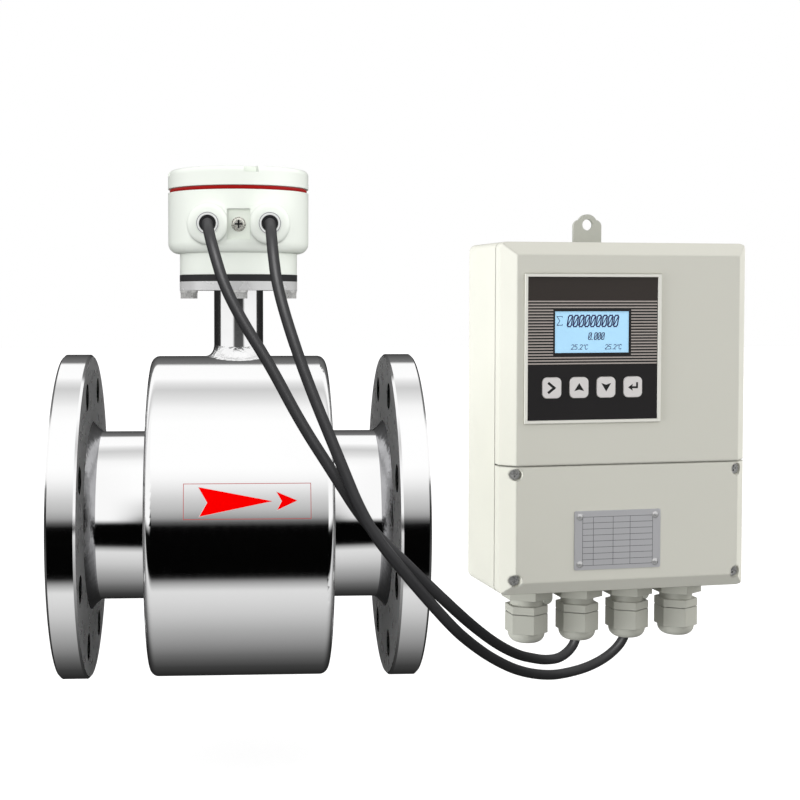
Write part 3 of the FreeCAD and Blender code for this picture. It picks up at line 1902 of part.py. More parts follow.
def gland_lock_nut(axis):
    """The hexagonal nut that jams the gland against the box."""
    lock = gland_levels()[0]
    prism = gland_hexagon(size("gland_lock_width"), axis, lock, 0)
    hole = tube_between(size("gland_thread_diameter").value / 2, axis, lock - 1, 1)
    return prism.cut(hole).Solids[0]


def gland_cap(axis):
    """The domed clamping nut, hexagonal above and round at its mouth."""
    lock, neck, hexagon_low, cap_top, cap_low, mouth = gland_levels()
    width = size("gland_hex_width").value
    prism = gland_hexagon(size("gland_hex_width"), axis, cap_low, cap_top)
    dome_radius = width / 2 * 0.985
    dome = tube_between(dome_radius, axis, mouth, cap_low + 1)
    rim = [edge for edge in dome.Edges if edge.BoundBox.ZMax < mouth + 0.01 and edge.Closed]
    dome = dome.makeFillet((cap_low - mouth) * 0.9, rim)
    spigot_end = hexagon_low - size("gland_spigot_length").value
    hollow = tube_between(size("gland_spigot_diameter").value / 2, axis, spigot_end, cap_top + 1)
    throat = tube_between(size("gland_mouth_diameter").value / 2, axis, mouth - 1, spigot_end + 1)
    return prism.fuse(dome).cut(hollow.fuse(throat)).removeSplitter().Solids[0]


def gland_seal(axis):
    """The rubber seal inside a gland, gripping its cable."""
    lock, neck, hexagon_low, cap_top, cap_low, mouth = gland_levels()
    low = hexagon_low - size("gland_spigot_length").value
    high = low + size("gland_seal_length").value
    outer = tube_between(size("gland_bore").value / 2, axis, low, high)
    inner = tube_between(size("cable_diameter").value / 2, axis, low - 1, high + 1)
    return outer.cut(inner).Solids[0]


# ---------------------------------------------------------------- cables


def entry_points(side):
    """The cable's start in its entry of the head, and where it begins to bend."""
    x = side * size("entry_spacing").value / 2
    start = size("cable_entry_depth").value - size("entry_boss_front").value
    bend = start - size("cable_entry_run").value
    return [(x, start, ENTRY_HEIGHT.value), (x, bend, ENTRY_HEIGHT.value)]


def gland_points(step, radius, heading):
    """The quarter turn that takes a cable up into its gland's seal, as equal runs."""
    end = gland_levels()[-1] + size("cable_gland_depth").value
    mouth = Vector(gland_x(step).value, size("gland_depth").value, end)
    tip = BOX_PLACE.multVec(mouth)
    last_bend = tip.z - size("cable_gland_run").value
    half_step = math.radians(90 / TURN_RUNS / 2)
    reach = radius.value / math.cos(half_step)
    centre_z = last_bend + radius.value * math.tan(half_step)
    along = math.radians(heading.value)
    points = []
    for run in reversed(range(TURN_RUNS)):
        drop = half_step * (2 * run + 1)
        back = reach * math.cos(drop) - radius.value
        x = tip.x + back * math.cos(along)
        y = tip.y + back * math.sin(along)
        points.append((x, y, centre_z - reach * math.sin(drop)))
    return points + [tuple(tip)]


def signal_points():
    """The whole route of the electrode signal cable."""
    radius = size("signal_turn_radius")
    heading = size("signal_turn_heading")
    return entry_points(-1) + SIGNAL_ROUTE + gland_points(-0.5, radius, heading)


def excitation_points():
    """The whole route of the coil supply cable."""
    radius = size("excitation_turn_radius")
    heading = size("excitation_turn_heading")
    return entry_points(1) + EXCITATION_ROUTE + gland_points(0.5, radius, heading)


def cable_path(points):
    """Straight runs joined by arcs, each as large as its two runs allow."""
    corners = [Vector(*point) for point in points]
    edges = []
    radii = []
    start = corners[0]
    for before, corner, after in zip(corners, corners[1:], corners[2:]):
        inward = before - corner
        outward = after - corner
        short = min(inward.Length, outward.Length)
        half_turn = (math.pi - inward.getAngle(outward)) / 2
        trim = 0.45 * short
        radius = trim / math.tan(half_turn)
        radii.append(radius)
        inward.normalize()
        outward.normalize()
        first = corner + inward * trim
        last = corner + outward * trim
        middle_way = inward + outward
        middle_way.normalize()
        sagitta = radius / math.cos(half_turn) - radius
        middle = corner + middle_way * sagitta
        edges.append(Part.LineSegment(start, first).toShape())
        edges.append(Part.Arc(first, middle, last).toShape())
        start = last
    edges.append(Part.LineSegment(start, corners[-1]).toShape())
    return Part.Wire(edges), radii


def make_cable(label, points):
    """A round cable swept along its route."""
    path, radii = cable_path(points)
    radius = size("cable_diameter").value / 2
    first, second = Vector(*points[0]), Vector(*points[1])
    profile = Part.Wire(Part.makeCircle(radius, first, second - first))
    cable = path.makePipeShell([profile], True, False)
    expected = math.pi * radius**2 * path.Length
    shown = ", ".join(f"{value:.0f}" for value in radii)
    print(f"{label}: {path.Length:.0f} long, volume {cable.Volume / expected:.5f} of expected")
    print(f"{label}: arc radii {shown}")
    for point in points:
        print(" ".join(f"{value:.2f}" for value in point))
    return group(label, [cable])


# ---------------------------------------------------------------- whole meter


def build_all():
    """Make every sub-part."""
    sensor = [
        make_flange("inlet_flange", -1),
        make_flange("outlet_flange", 1),
        make_measuring_tube(),
        make_tube_liner(),
        make_liner_lip("inlet_lip", -1),
        make_liner_lip("outlet_lip", 1),
        make_drum_shell(),
        make_end_plate("inlet_end_plate", -1),
        make_end_plate("outlet_end_plate", 1),
        make_pole("upper_pole", 1),
        make_pole("lower_pole", -1),
        make_coil("upper_coil", 1),
        make_coil("lower_coil", -1),
        make_magnet_yoke(),
        make_electrode("front_electrode", -1),
        make_electrode("rear_electrode", 1),
        make_electrode_insulators(),
    ]
    head = [
        make_neck_tube(),
        make_neck_plate(),
        make_neck_gasket(),
        make_neck_bolts(),
        make_lead_loom(),
        make_head_body(),
        make_entry_sleeves(),
        make_entry_seals(),
        make_earth_screw(),
        make_earth_washer(),
        make_head_lid(),
        make_lid_seal(),
        make_head_terminal_block(),
        make_head_terminal_screws(),
    ]
    box = [
        make_rear_housing(),
        make_display_cover(),
        make_terminal_cover(),
        make_cover_gasket(),
        make_cover_screws(),
        make_display_bezel(),
        make_panel_overlay(),
        make_lcd_window(),
        make_lcd_module(),
        make_display_board(),
        make_key_switches(),
        make_main_board(),
        make_power_module(),
        make_terminal_strip(),
        make_nameplate(),
        make_nameplate_rivets(),
        make_top_lug(),
        make_bottom_lugs(),
        gland_group("gland_bodies", gland_body),
        gland_group("gland_lock_nuts", gland_lock_nut),
        gland_group("gland_caps", gland_cap),
        gland_group("gland_seals", gland_seal),
    ]
    keys = [make_key(name, index) for index, name in enumerate(KEY_NAMES)]
    cables = [
        make_cable("signal_cable", signal_points()),
        make_cable("excitation_cable", excitation_points()),
    ]
    return sensor + head + box + keys + cables


def check(parts):
    """Stop if any object failed, any cut missed or any shape is unsound."""
    for item in doc.Objects:
        if "Invalid" in item.State or "Error" in item.State:
            raise RuntimeError(f"{item.Label} ({item.Name}) failed: {item.State}")
        if item.TypeId in ("PartDesign::Pocket", "PartDesign::Groove"):
            removed = item.BaseFeature.Shape.Volume - item.Shape.Volume
            if removed < 1e-3:
                owner = item.getParentGeoFeatureGroup().Label
                raise RuntimeError(f"{item.Name} of {owner} cuts nothing")
    for part in parts:
        if part.Shape.isNull() or not part.Shape.isValid():
            raise RuntimeError(f"{part.Label} has an unsound shape")


def export(parts):
    """Write one STEP file for each sub-part."""
    os.makedirs("parts", exist_ok=True)
    for part in parts:
        part.Shape.exportStep(f"parts/{part.Label}.step")
    print(f"{len(parts)} sub-parts written")


PARTS = build_all()
doc.recompute()
check(PARTS)
export(PARTS)
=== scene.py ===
"""Looks of the electromagnetic flow meter: materials, cables, printed details, light, camera."""
import math

import bmesh
import bpy
from mathutils import Euler, Matrix, Vector


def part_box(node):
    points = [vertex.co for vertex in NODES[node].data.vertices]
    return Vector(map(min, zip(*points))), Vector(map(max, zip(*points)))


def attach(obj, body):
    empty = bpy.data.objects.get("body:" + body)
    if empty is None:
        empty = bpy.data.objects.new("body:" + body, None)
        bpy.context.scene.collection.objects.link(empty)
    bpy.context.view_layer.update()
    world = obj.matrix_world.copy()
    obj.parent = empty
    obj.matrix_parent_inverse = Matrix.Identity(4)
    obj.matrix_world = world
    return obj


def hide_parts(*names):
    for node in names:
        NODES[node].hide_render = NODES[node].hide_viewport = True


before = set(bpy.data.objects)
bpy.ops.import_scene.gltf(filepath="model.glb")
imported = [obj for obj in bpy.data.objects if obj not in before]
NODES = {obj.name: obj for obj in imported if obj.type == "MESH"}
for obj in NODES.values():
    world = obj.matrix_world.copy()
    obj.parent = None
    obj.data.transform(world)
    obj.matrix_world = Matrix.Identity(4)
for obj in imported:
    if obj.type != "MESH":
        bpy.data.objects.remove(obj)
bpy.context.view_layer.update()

MM = 0.001

# The transmitter's own frame: x along its front, y into the box, z up from its bottom.
BOX_ORIGIN = Vector((184.7, 0.0, -61.5)) * MM
BOX_YAW = math.radians(9.0)
BOX = Matrix.Translation(BOX_ORIGIN) @ Matrix.Rotation(BOX_YAW, 4, "Z")

# Depths of the printed faces, along that y.
OVERLAY_FACE, KEY_FACE, PLATE_FACE, LCD_FACE = 0.4, -0.4, -0.8, 1.75

# How far prints stand out of the face that they lie on.
PRINT_LIFT, FIELD_LIFT, STRIPE_LIFT, DIGIT_LIFT, RULE_LIFT = 0.05, 0.03, 0.06, 0.04, 0.03

DRUM_RADIUS = 109.0

# The cables' diameter and lengths are in metres, their routes in millimetres.
CABLE_DIAMETER = 0.007
SIGNAL_ROUTE = [
    (-20.15, -49.5, 197.1),
    (-20.15, -69.5, 197.1),
    (-18.8, -88.6, 190.4),
    (-14.7, -100.7, 175),
    (-9, -106.5, 156.2),
    (2.5, -110.5, 133.7),
    (18.8, -114, 108.1),
    (36.9, -118, 73.6),
    (56.7, -121.5, 42.8),
    (76.6, -123.5, 11.3),
    (102.4, -122, -14.1),
    (130.4, -108, -42.1),
    (152.4, -72, -64.9),
    (174.7, -34, -85.8),
    (195.5, 0, -101.7),
    (208.5, 17, -108.4),
    (222, 30.5, -113.8),
    (236, 40.5, -114.8),
    (247.5, 48.5, -107.5),
    (249.75, 50.8, -97.5),
    (249.75, 50.8, -87.6),
]
EXCITATION_ROUTE = [
    (20.15, -49.5, 197.1),
    (20.15, -69.5, 197.1),
    (20.1, -88.6, 190.5),
    (21.1, -101.5, 175.1),
    (23.3, -109, 156.2),
    (30.5, -116.5, 129.6),
    (42.5, -122.5, 94.8),
    (58.2, -128, 56.3),
    (75.8, -132.5, 12.7),
    (101.6, -130, -19.8),
    (130.3, -113, -53.7),
    (146.8, -86, -71.1),
    (167.1, -54, -89.8),
    (192.6, -18, -108.5),
    (220.1, 14, -120.6),
    (240, 32.5, -123.6),
    (258, 43.5, -122.2),
    (274, 51, -116.5),
    (285.5, 56, -107.5),
    (288.87, 57, -97.5),
    (288.87, 57, -87.6),
]


# ---------------------------------------------------------------- materials

NOISE_DETAIL = 3
NOISE_LOW, NOISE_HIGH = 0.3, 0.7  # nearly all of a noise lies between these
GLOSS_FINENESS = 3  # how much finer the gloss varies than the colour
LEAST_ROUGHNESS = 0.02


def linear(value):
    """Linear light of a display value from 0 to 255."""
    v = value / 255
    return v / 12.92 if v <= 0.04045 else ((v + 0.055) / 1.055) ** 2.4


def colour(red, green, blue):
    """Linear colour of a display colour."""
    return (linear(red), linear(green), linear(blue), 1)


def link(tree, source, target):
    tree.links.new(source, target)


def noise(tree, scale, stretch=(1, 1, 1)):
    """Noise over the object's own coordinates, in metres."""
    coords = tree.nodes.new("ShaderNodeTexCoord")
    mapping = tree.nodes.new("ShaderNodeMapping")
    mapping.inputs["Scale"].default_value = stretch
    made = tree.nodes.new("ShaderNodeTexNoise")
    made.inputs["Scale"].default_value = scale
    made.inputs["Detail"].default_value = NOISE_DETAIL
    link(tree, coords.outputs["Object"], mapping.inputs["Vector"])
    link(tree, mapping.outputs["Vector"], made.inputs["Vector"])
    return made.outputs["Fac"]


def spread(tree, fac, low, high):
    """A number that follows a noise from low to high."""
    made = tree.nodes.new("ShaderNodeMapRange")
    made.inputs["From Min"].default_value = NOISE_LOW
    made.inputs["From Max"].default_value = NOISE_HIGH
    made.inputs["To Min"].default_value = low
    made.inputs["To Max"].default_value = high
    link(tree, fac, made.inputs["Value"])
    return made.outputs["Result"]


def maths(tree, operation, first, second=None):
    """One maths node, fed by sockets or plain numbers."""
    made = tree.nodes.new("ShaderNodeMath")
    made.operation = operation
    for socket, value in zip(made.inputs, (first, second)):
        if isinstance(value, (int, float)):
            socket.default_value = value
        elif value is not None:
            link(tree, value, socket)
    return made.outputs["Value"]


def smooth(tree, value, low, high):
    """0 below low, 1 above high, eased between."""
    made = tree.nodes.new("ShaderNodeMapRange")
    made.interpolation_type = "SMOOTHSTEP"
    made.inputs["From Min"].default_value = low
    made.inputs["From Max"].default_value = high
    link(tree, value, made.inputs["Value"])
    return made.outputs["Result"]


def surface(
    name,
    base,
    rough,
    metallic=0.0,
    vary=0.03,
    vary_scale=30,
    rough_vary=0.03,
    bump=0.0,
    bump_scale=900,
    bump_depth=0.0001,
    stretch=(1, 1, 1),
    edge=0.0003,
    coat=0.0,
    specular=0.5,
):
    """A procedural finish: mottled colour, uneven gloss, fine relief and softened edges."""
    made = bpy.data.materials.new(name)
    made.use_nodes = True
    tree = made.node_tree
    shader = tree.nodes["Principled BSDF"]
    shader.inputs["Metallic"].default_value = metallic
    shader.inputs["Specular IOR Level"].default_value = specular
    if coat:
        shader.inputs["Coat Weight"].default_value = coat
        shader.inputs["Coat Roughness"].default_value = 0.1
    mottle = noise(tree, vary_scale)
    shades = tree.nodes.new("ShaderNodeMix")
    shades.data_type = "RGBA"
    shades.inputs["A"].default_value = [c * (1 - vary) for c in base[:3]] + [1]
    shades.inputs["B"].default_value = [min(c * (1 + vary), 1) for c in base[:3]] + [1]
    link(tree, mottle, shades.inputs["Factor"])
    link(tree, shades.outputs["Result"], shader.inputs["Base Color"])
    gloss = noise(tree, vary_scale * GLOSS_FINENESS, stretch=stretch)
    smoothest = max(rough - rough_vary, LEAST_ROUGHNESS)
    uneven = spread(tree, gloss, smoothest, rough + rough_vary)
    link(tree, uneven, shader.inputs["Roughness"])
    normal = None
    if edge:
        bevel = tree.nodes.new("ShaderNodeBevel")
        bevel.samples = 4
        bevel.inputs["Radius"].default_value = edge
        normal = bevel.outputs["Normal"]
    if bump:
        relief = tree.nodes.new("ShaderNodeBump")
        relief.inputs["Strength"].default_value = bump
        relief.inputs["Distance"].default_value = bump_depth
        fine = noise(tree, bump_scale, stretch=stretch)
        link(tree, fine, relief.inputs["Height"])
        if normal:
            link(tree, normal, relief.inputs["Normal"])
        normal = relief.outputs["Normal"]
    if normal:
        link(tree, normal, shader.inputs["Normal"])
    return made


def glass(name):
    """Clear window plastic."""
    made = bpy.data.materials.new(name)
    made.use_nodes = True
    tree = made.node_tree
    shader = tree.nodes["Principled BSDF"]
    shader.inputs["Base Color"].default_value = (0.97, 0.99, 1, 1)
    shader.inputs["Transmission Weight"].default_value = 1
    shader.inputs["IOR"].default_value = 1.2
    link(tree, spread(tree, noise(tree, 60), 0.01, 0.03), shader.inputs["Roughness"])
    return made


def lit_panel(name, base, strength):
    """The lit display: an even glow with a faint unevenness."""
    made = bpy.data.materials.new(name)
    made.use_nodes = True
    tree = made.node_tree
    shader = tree.nodes["Principled BSDF"]
    shader.inputs["Base Color"].default_value = base
    shader.inputs["Roughness"].default_value = 0.4
    shader.inputs["Emission Color"].default_value = base
    glow = spread(tree, noise(tree, 40), strength * 0.95, strength * 1.05)
    link(tree, glow, shader.inputs["Emission Strength"])
    return made


FACE_FADE = (0.85, 0.98)  # how square to the pipe a face is where its turning fades in
FACE_GLOSS_SCALE, FACE_ROUGH_VARY = 90, 0.05
FACE_LESS_METALLIC = 0.28
RING_SCALE, RING_WAVER, RING_DEPTH, RING_STRENGTH = 300, 0.6, 0.00004, 0.25


def turned_faces(finish, rough):
    """The flat faces square to the pipe are turned on a lathe: duller, with fine rings."""
    tree = finish.node_tree
    shader = tree.nodes["Principled BSDF"]
    geometry = tree.nodes.new("ShaderNodeNewGeometry")
    axes = tree.nodes.new("ShaderNodeSeparateXYZ")
    link(tree, geometry.outputs["True Normal"], axes.inputs["Vector"])
    faces = smooth(tree, maths(tree, "ABSOLUTE", axes.outputs["X"]), *FACE_FADE)
    polished = shader.inputs["Roughness"].links[0].from_socket
    gloss = noise(tree, FACE_GLOSS_SCALE)
    uneven = spread(tree, gloss, rough - FACE_ROUGH_VARY, rough + FACE_ROUGH_VARY)
    blend = tree.nodes.new("ShaderNodeMix")
    link(tree, faces, blend.inputs["Factor"])
    link(tree, polished, blend.inputs["A"])
    link(tree, uneven, blend.inputs["B"])
    link(tree, blend.outputs["Result"], shader.inputs["Roughness"])
    dull = maths(tree, "MULTIPLY", faces, -FACE_LESS_METALLIC)
    link(tree, maths(tree, "ADD", dull, 1), shader.inputs["Metallic"])
    rings = tree.nodes.new("ShaderNodeTexWave")
    rings.wave_type = "RINGS"
    rings.rings_direction = "X"
    rings.inputs["Scale"].default_value = RING_SCALE
    rings.inputs["Distortion"].default_value = RING_WAVER
    coords = tree.nodes.new("ShaderNodeTexCoord")
    link(tree, coords.outputs["Object"], rings.inputs["Vector"])
    relief = tree.nodes.new("ShaderNodeBump")
    relief.inputs["Distance"].default_value = RING_DEPTH
    link(tree, maths(tree, "MULTIPLY", faces, RING_STRENGTH), relief.inputs["Strength"])
    link(tree, rings.outputs["Fac"], relief.inputs["Height"])
    link(tree, shader.inputs["Normal"].links[0].from_socket, relief.inputs["Normal"])
    link(tree, relief.outputs["Normal"], shader.inputs["Normal"])


STEEL_REFLECTANCE = 0.86
STEEL_COLOUR = (STEEL_REFLECTANCE, STEEL_REFLECTANCE, STEEL_REFLECTANCE)
POLISHED = {
    "rough": 0.07,
    "metallic": 1,
    "vary": 0.01,
    "vary_scale": 25,
    "rough_vary": 0.015,
    "bump": 0.03,
    "bump_scale": 700,
    "bump_depth": 0.00003,
    "edge": 0,
}
STEEL = surface("polished_steel", STEEL_COLOUR, stretch=(6, 1, 1), **POLISHED)
NECK_STEEL = surface(
    "neck_steel", STEEL_COLOUR, rough=0.08, metallic=1, vary=0.01, vary_scale=25,
    rough_vary=0.02, bump=0.04, bump_scale=500, bump_depth=0.00005, edge=0,
)
NECK_PLATE_STEEL = surface(
    "neck_plate_steel", (0.93, 0.93, 0.93), rough=0.25, metallic=0.2, vary=0.12,
    vary_scale=22, rough_vary=0.06, bump=0.05, bump_scale=500, bump_depth=0.00005,
)
NECK_WELD_STEEL = surface(
    "neck_weld_steel", (0.84, 0.84, 0.84), rough=0.1, metallic=1, vary=0.03,
    vary_scale=120, rough_vary=0.03, bump=0.8, bump_scale=330, bump_depth=0.0009, edge=0,
)
WELD_STEEL = surface(
    "weld_steel", (0.38, 0.38, 0.39), rough=0.14, metallic=1, vary=0.25, vary_scale=70,
    rough_vary=0.05, bump=0.4, bump_scale=320, bump_depth=0.0004, edge=0,
)
FLANGE_STEEL = surface("flange_steel", STEEL_COLOUR, stretch=(1, 6, 6), **POLISHED)
turned_faces(FLANGE_STEEL, rough=0.30)
MAGNET_STEEL = surface(
    "magnet_steel", (0.25, 0.25, 0.26), rough=0.45, metallic=1, vary=0.1, vary_scale=60,
    rough_vary=0.08, bump=0.2,
)
BOLT_STEEL = surface(
    "bolt_steel", (0.90, 0.90, 0.88), rough=0.32, metallic=0.4, vary=0.08, vary_scale=300,
    rough_vary=0.08, bump=0.2, bump_scale=1200, bump_depth=0.0002,
)
EARTH_STEEL = surface(
    "earth_steel", (0.86, 0.84, 0.76), rough=0.28, metallic=0.8, vary=0.2, vary_scale=500,
    rough_vary=0.1, bump=0.8, bump_scale=600, bump_depth=0.0004,
)
PROBE_STEEL = surface(
    "probe_steel", (0.7, 0.7, 0.7), rough=0.2, metallic=1, vary=0.04, vary_scale=200,
    rough_vary=0.05, bump=0.1,
)
LINER = surface("liner", colour(224, 223, 214), 0.45, vary=0.03, bump=0.1)
COPPER = surface(
    "winding", (0.45, 0.18, 0.06), rough=0.4, metallic=0.6, vary=0.15, vary_scale=200,
    rough_vary=0.1, bump=0.5, bump_scale=2500, bump_depth=0.0002,
)
WHITE = surface("white_plastic", colour(240, 242, 240), 0.4, vary=0.02, bump=0.05)
RUBBER = surface("black_rubber", colour(38, 38, 40), 0.6, vary=0.25, vary_scale=120, bump=0.4)
O_RING = surface(
    "red_rubber", colour(168, 8, 4), 0.5, vary=0.06, vary_scale=60, bump=0.1, specular=0.2
)
HEAD_PAINT = surface(
    "head_paint", colour(245, 250, 242), 0.34, vary=0.012, vary_scale=18, rough_vary=0.04,
    bump=0.08, bump_scale=350, bump_depth=0.0002, edge=0.0008, coat=0.2,
)
BOX_PAINT = surface(
    "box_paint", colour(214, 213, 202), 0.46, vary=0.012, vary_scale=14, rough_vary=0.04,
    bump=0.15, bump_scale=1100, bump_depth=0.00012, edge=0.0022,
)
BEZEL = surface("bezel", colour(234, 233, 224), 0.35, vary=0.02, bump=0.05, edge=0.0005)
PANEL = surface(
    "panel_film", colour(38, 36, 37), 0.4, vary=0.12, vary_scale=10, rough_vary=0.05,
    bump=0.08, bump_scale=2500, bump_depth=0.00003, specular=0.25,
)
PRINT_BROWN = surface(
    "print_brown", colour(62, 56, 52), 0.4, vary=0.06, vary_scale=12, edge=0.0, specular=0.25
)
# Near-black for print, and also for painted shade in the earth screw's recess and round each key.
PRINT_AND_SHADE_BLACK = surface("print_and_shade_black", colour(18, 16, 16), 0.4, vary=0.1, edge=0.0)
PRINT_GREY = surface("print_grey", colour(192, 182, 176), 0.4, vary=0.03, edge=0.0)
PRINT_RED = surface("print_red", colour(255, 0, 0), 0.6, vary=0.01, edge=0.0, specular=0.0)
PRINT_THIN_RED = surface("print_thin_red", colour(214, 96, 96), 0.5, vary=0.03, edge=0.0)
PRINT_LINE = surface("print_line", colour(120, 122, 124), 0.4, vary=0.05, edge=0.0)
PRINT_WHITE = surface("print_white", colour(246, 246, 244), 0.35, vary=0.01, edge=0.0)
PRINT_RULE = surface("print_rule", colour(92, 93, 98), 0.4, vary=0.1, edge=0.0)
RIVET_STEEL = surface(
    "rivet_steel", (0.6, 0.6, 0.6), rough=0.32, metallic=0.65, vary=0.1, vary_scale=300,
    rough_vary=0.08, bump=0.3, bump_scale=1200, bump_depth=0.0002,
)
KEY = surface("key_rubber", colour(246, 242, 240), 0.42, vary=0.015, bump=0.06, edge=0.0005)
WINDOW = glass("window")
LCD = lit_panel("lcd_glow", colour(180, 226, 255), 0.45)
LCD_INK = surface("lcd_ink", colour(34, 32, 108), 0.5, vary=0.05, edge=0.0)
LCD_FAINT = surface("lcd_faint", colour(52, 66, 118), 0.5, vary=0.05, edge=0.0)
BOARD = surface("board", colour(22, 92, 52), 0.4, vary=0.1, vary_scale=200, bump=0.1)
BLACK_PLASTIC = surface("black_plastic", colour(34, 34, 34), 0.5, vary=0.1, bump=0.2)
PLATE = surface(
    "plate_metal", colour(206, 206, 209), rough=0.42, metallic=0.2, vary=0.05,
    vary_scale=12, rough_vary=0.06, bump=0.25, bump_depth=0.00005, stretch=(12, 1, 1),
)
LUG = surface("lug_paint", colour(185, 186, 177), 0.45, vary=0.03, bump=0.15, edge=0.0004)
GLAND = surface(
    "gland_plastic", colour(178, 178, 168), 0.38, vary=0.02, vary_scale=50, bump=0.08,
    bump_scale=1400, edge=0.0006,
)
JACKET = surface(
    "cable_jacket", colour(28, 28, 29), 0.45, vary=0.12, vary_scale=80, rough_vary=0.03,
    bump=0.1, bump_scale=1500, bump_depth=0.00005, edge=0.0, specular=0.22,
)

FINISHES = {
    STEEL: "measuring_tube drum_shell inlet_end_plate outlet_end_plate",
    FLANGE_STEEL: "inlet_flange outlet_flange",
    NECK_STEEL: "neck_tube",
    NECK_PLATE_STEEL: "neck_plate",
    MAGNET_STEEL: "upper_pole lower_pole magnet_yoke",
    COPPER: "upper_coil lower_coil",
    PROBE_STEEL: "front_electrode rear_electrode",
    LINER: "tube_liner inlet_lip outlet_lip electrode_insulators",
    WHITE: "entry_sleeves head_terminal_block terminal_strip",
    RUBBER: "neck_gasket lead_loom entry_seals cover_gasket gland_seals",
    BOLT_STEEL: "neck_bolts head_terminal_screws",
    RIVET_STEEL: "cover_screws nameplate_rivets",
    EARTH_STEEL: "earth_screw earth_washer",
    HEAD_PAINT: "head_body head_lid",
    O_RING: "lid_seal",
    BOX_PAINT: "rear_housing display_cover terminal_cover",
    BEZEL: "display_bezel",
    PANEL: "panel_overlay",
    WINDOW: "lcd_window",
    BLACK_PLASTIC: "lcd_module key_switches power_module",
    BOARD: "display_board main_board",
    PLATE: "nameplate",
    LUG: "top_lug bottom_lugs",
    GLAND: "gland_bodies gland_lock_nuts gland_caps",
    KEY: "next_key up_key down_key enter_key",
    JACKET: "signal_cable excitation_cable",
}

# Nodes that the polished metal does not mirror, as in the photograph.
UNREFLECTED = (
    "head_body head_lid lid_seal entry_sleeves entry_seals earth_screw earth_washer "
    "neck_plate neck_gasket neck_bolts head_terminal_block head_terminal_screws lead_loom "
    "rear_housing display_cover terminal_cover cover_gasket cover_screws display_bezel "
    "panel_overlay lcd_window lcd_module nameplate nameplate_rivets top_lug bottom_lugs "
    "gland_bodies gland_lock_nuts gland_caps gland_seals next_key up_key down_key enter_key "
    "display_board key_switches main_board power_module terminal_strip "
    "drum_shell inlet_end_plate outlet_end_plate upper_coil lower_coil upper_pole lower_pole "
    "magnet_yoke front_electrode rear_electrode electrode_insulators tube_liner"
)


def finish_nodes():
    """Give every node that the frame has its finish."""
    done = set()
    for finish, names in FINISHES.items():
        for name in names.split():
            if name in NODES:
                mesh = NODES[name].data
                mesh.materials.clear()
                mesh.materials.append(finish)
                done.add(name)
    for name in UNREFLECTED.split():
        NODES[name].visible_glossy = False
    left = set(NODES) - done
    if left:
        raise RuntimeError(f"no finish for {sorted(left)}")


# ---------------------------------------------------------------- mesh helpers


def plate(bm, outline, place, thickness):
    """A thin printed shape: an outline in the face's plane, raised by its thickness."""
    front = [bm.verts.new(place(x, z, thickness)) for x, z in outline]
    back = [bm.verts.new(place(x, z, 0)) for x, z in outline]
    bm.faces.new(front)
    bm.faces.new(list(reversed(back)))
    count = len(outline)
    for i in range(count):
        j = (i + 1) % count
        bm.faces.new([front[j], front[i], back[i], back[j]])


def on_box(face):
    """Places a point of the transmitter's front view on a face at this depth."""

    def place(x, z, lift):
        return BOX @ (Vector((x, face - lift, z)) * MM)

    return place


def on_head(face):
    """Places a point of the head's front view on a face at this depth."""

    def place(x, z, lift):
        return Vector((x, face - lift, z)) * MM

    return place


def on_drum(x, z, lift):
    """Wraps a point of the drum's front view round the drum."""
    angle = z / DRUM_RADIUS
    radius = DRUM_RADIUS + lift
    return Vector((x, -radius * math.cos(angle), radius * math.sin(angle))) * MM


def rectangle(left, low, right, high):
    return [(left, low), (right, low), (right, high), (left, high)]


def widened(box, margin):
    """A rectangle's left, low, right and high, moved outwards by a margin."""
    left, low, right, high = box
    return left - margin, low - margin, right + margin, high + margin


def circle(x, z, radius, steps=48):
    turns = [2 * math.pi * i / steps for i in range(steps)]
    return [(x + radius * math.cos(turn), z + radius * math.sin(turn)) for turn in turns]


def rounded(left, low, right, high, radius, steps=6):
    """The outline of a rectangle with rounded corners."""
    points = []
    centres = [
        (right - radius, low + radius, -90),
        (right - radius, high - radius, 0),
        (left + radius, high - radius, 90),
        (left + radius, low + radius, 180),
    ]
    for x, z, start in centres:
        for i in range(steps + 1):
            angle = math.radians(start + 90 * i / steps)
            points.append((x + radius * math.cos(angle), z + radius * math.sin(angle)))
    return points


def frame_strips(left, low, right, high, width):
    """Four strips that make a rectangular outline."""
    return [
        rectangle(left, low, right, low + width),
        rectangle(left, high - width, right, high),
        rectangle(left, low + width, left + width, high - width),
        rectangle(right - width, low + width, right, high - width),
    ]


def ring_strip(outer, inner):
    """Quads between two outlines with the same number of points."""
    count = len(outer)
    quads = []
    for i in range(count):
        j = (i + 1) % count
        quads.append([outer[i], outer[j], inner[j], inner[i]])
    return quads


def stroke(points, width):
    """Rectangles along a path, one for each straight part."""
    parts = []
    half = width / 2
    for (x0, z0), (x1, z1) in zip(points, points[1:]):
        length = math.hypot(x1 - x0, z1 - z0)
        ux, uz = (x1 - x0) / length * half, (z1 - z0) / length * half
        a = (x0 - ux - uz, z0 - uz + ux)
        b = (x0 - ux + uz, z0 - uz - ux)
        c = (x1 + ux + uz, z1 + uz - ux)
        d = (x1 + ux - uz, z1 + uz + ux)
        parts.append([a, b, c, d])
    return parts


def printed(name, shapes, finish, place, body, thickness=PRINT_LIFT):
    """One piece made of many thin printed shapes, on a body."""
    mesh = bpy.data.meshes.new(name)
    bm = bmesh.new()
    for shape in shapes:
        plate(bm, shape, place, thickness)
    bmesh.ops.recalc_face_normals(bm, faces=bm.faces)
    bm.to_mesh(mesh)
    bm.free()
    mesh.materials.append(finish)
    piece = bpy.data.objects.new(name, mesh)
    piece.visible_glossy = False
    bpy.context.scene.collection.objects.link(piece)
    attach(piece, body)
    return piece


# ---------------------------------------------------------------- cables


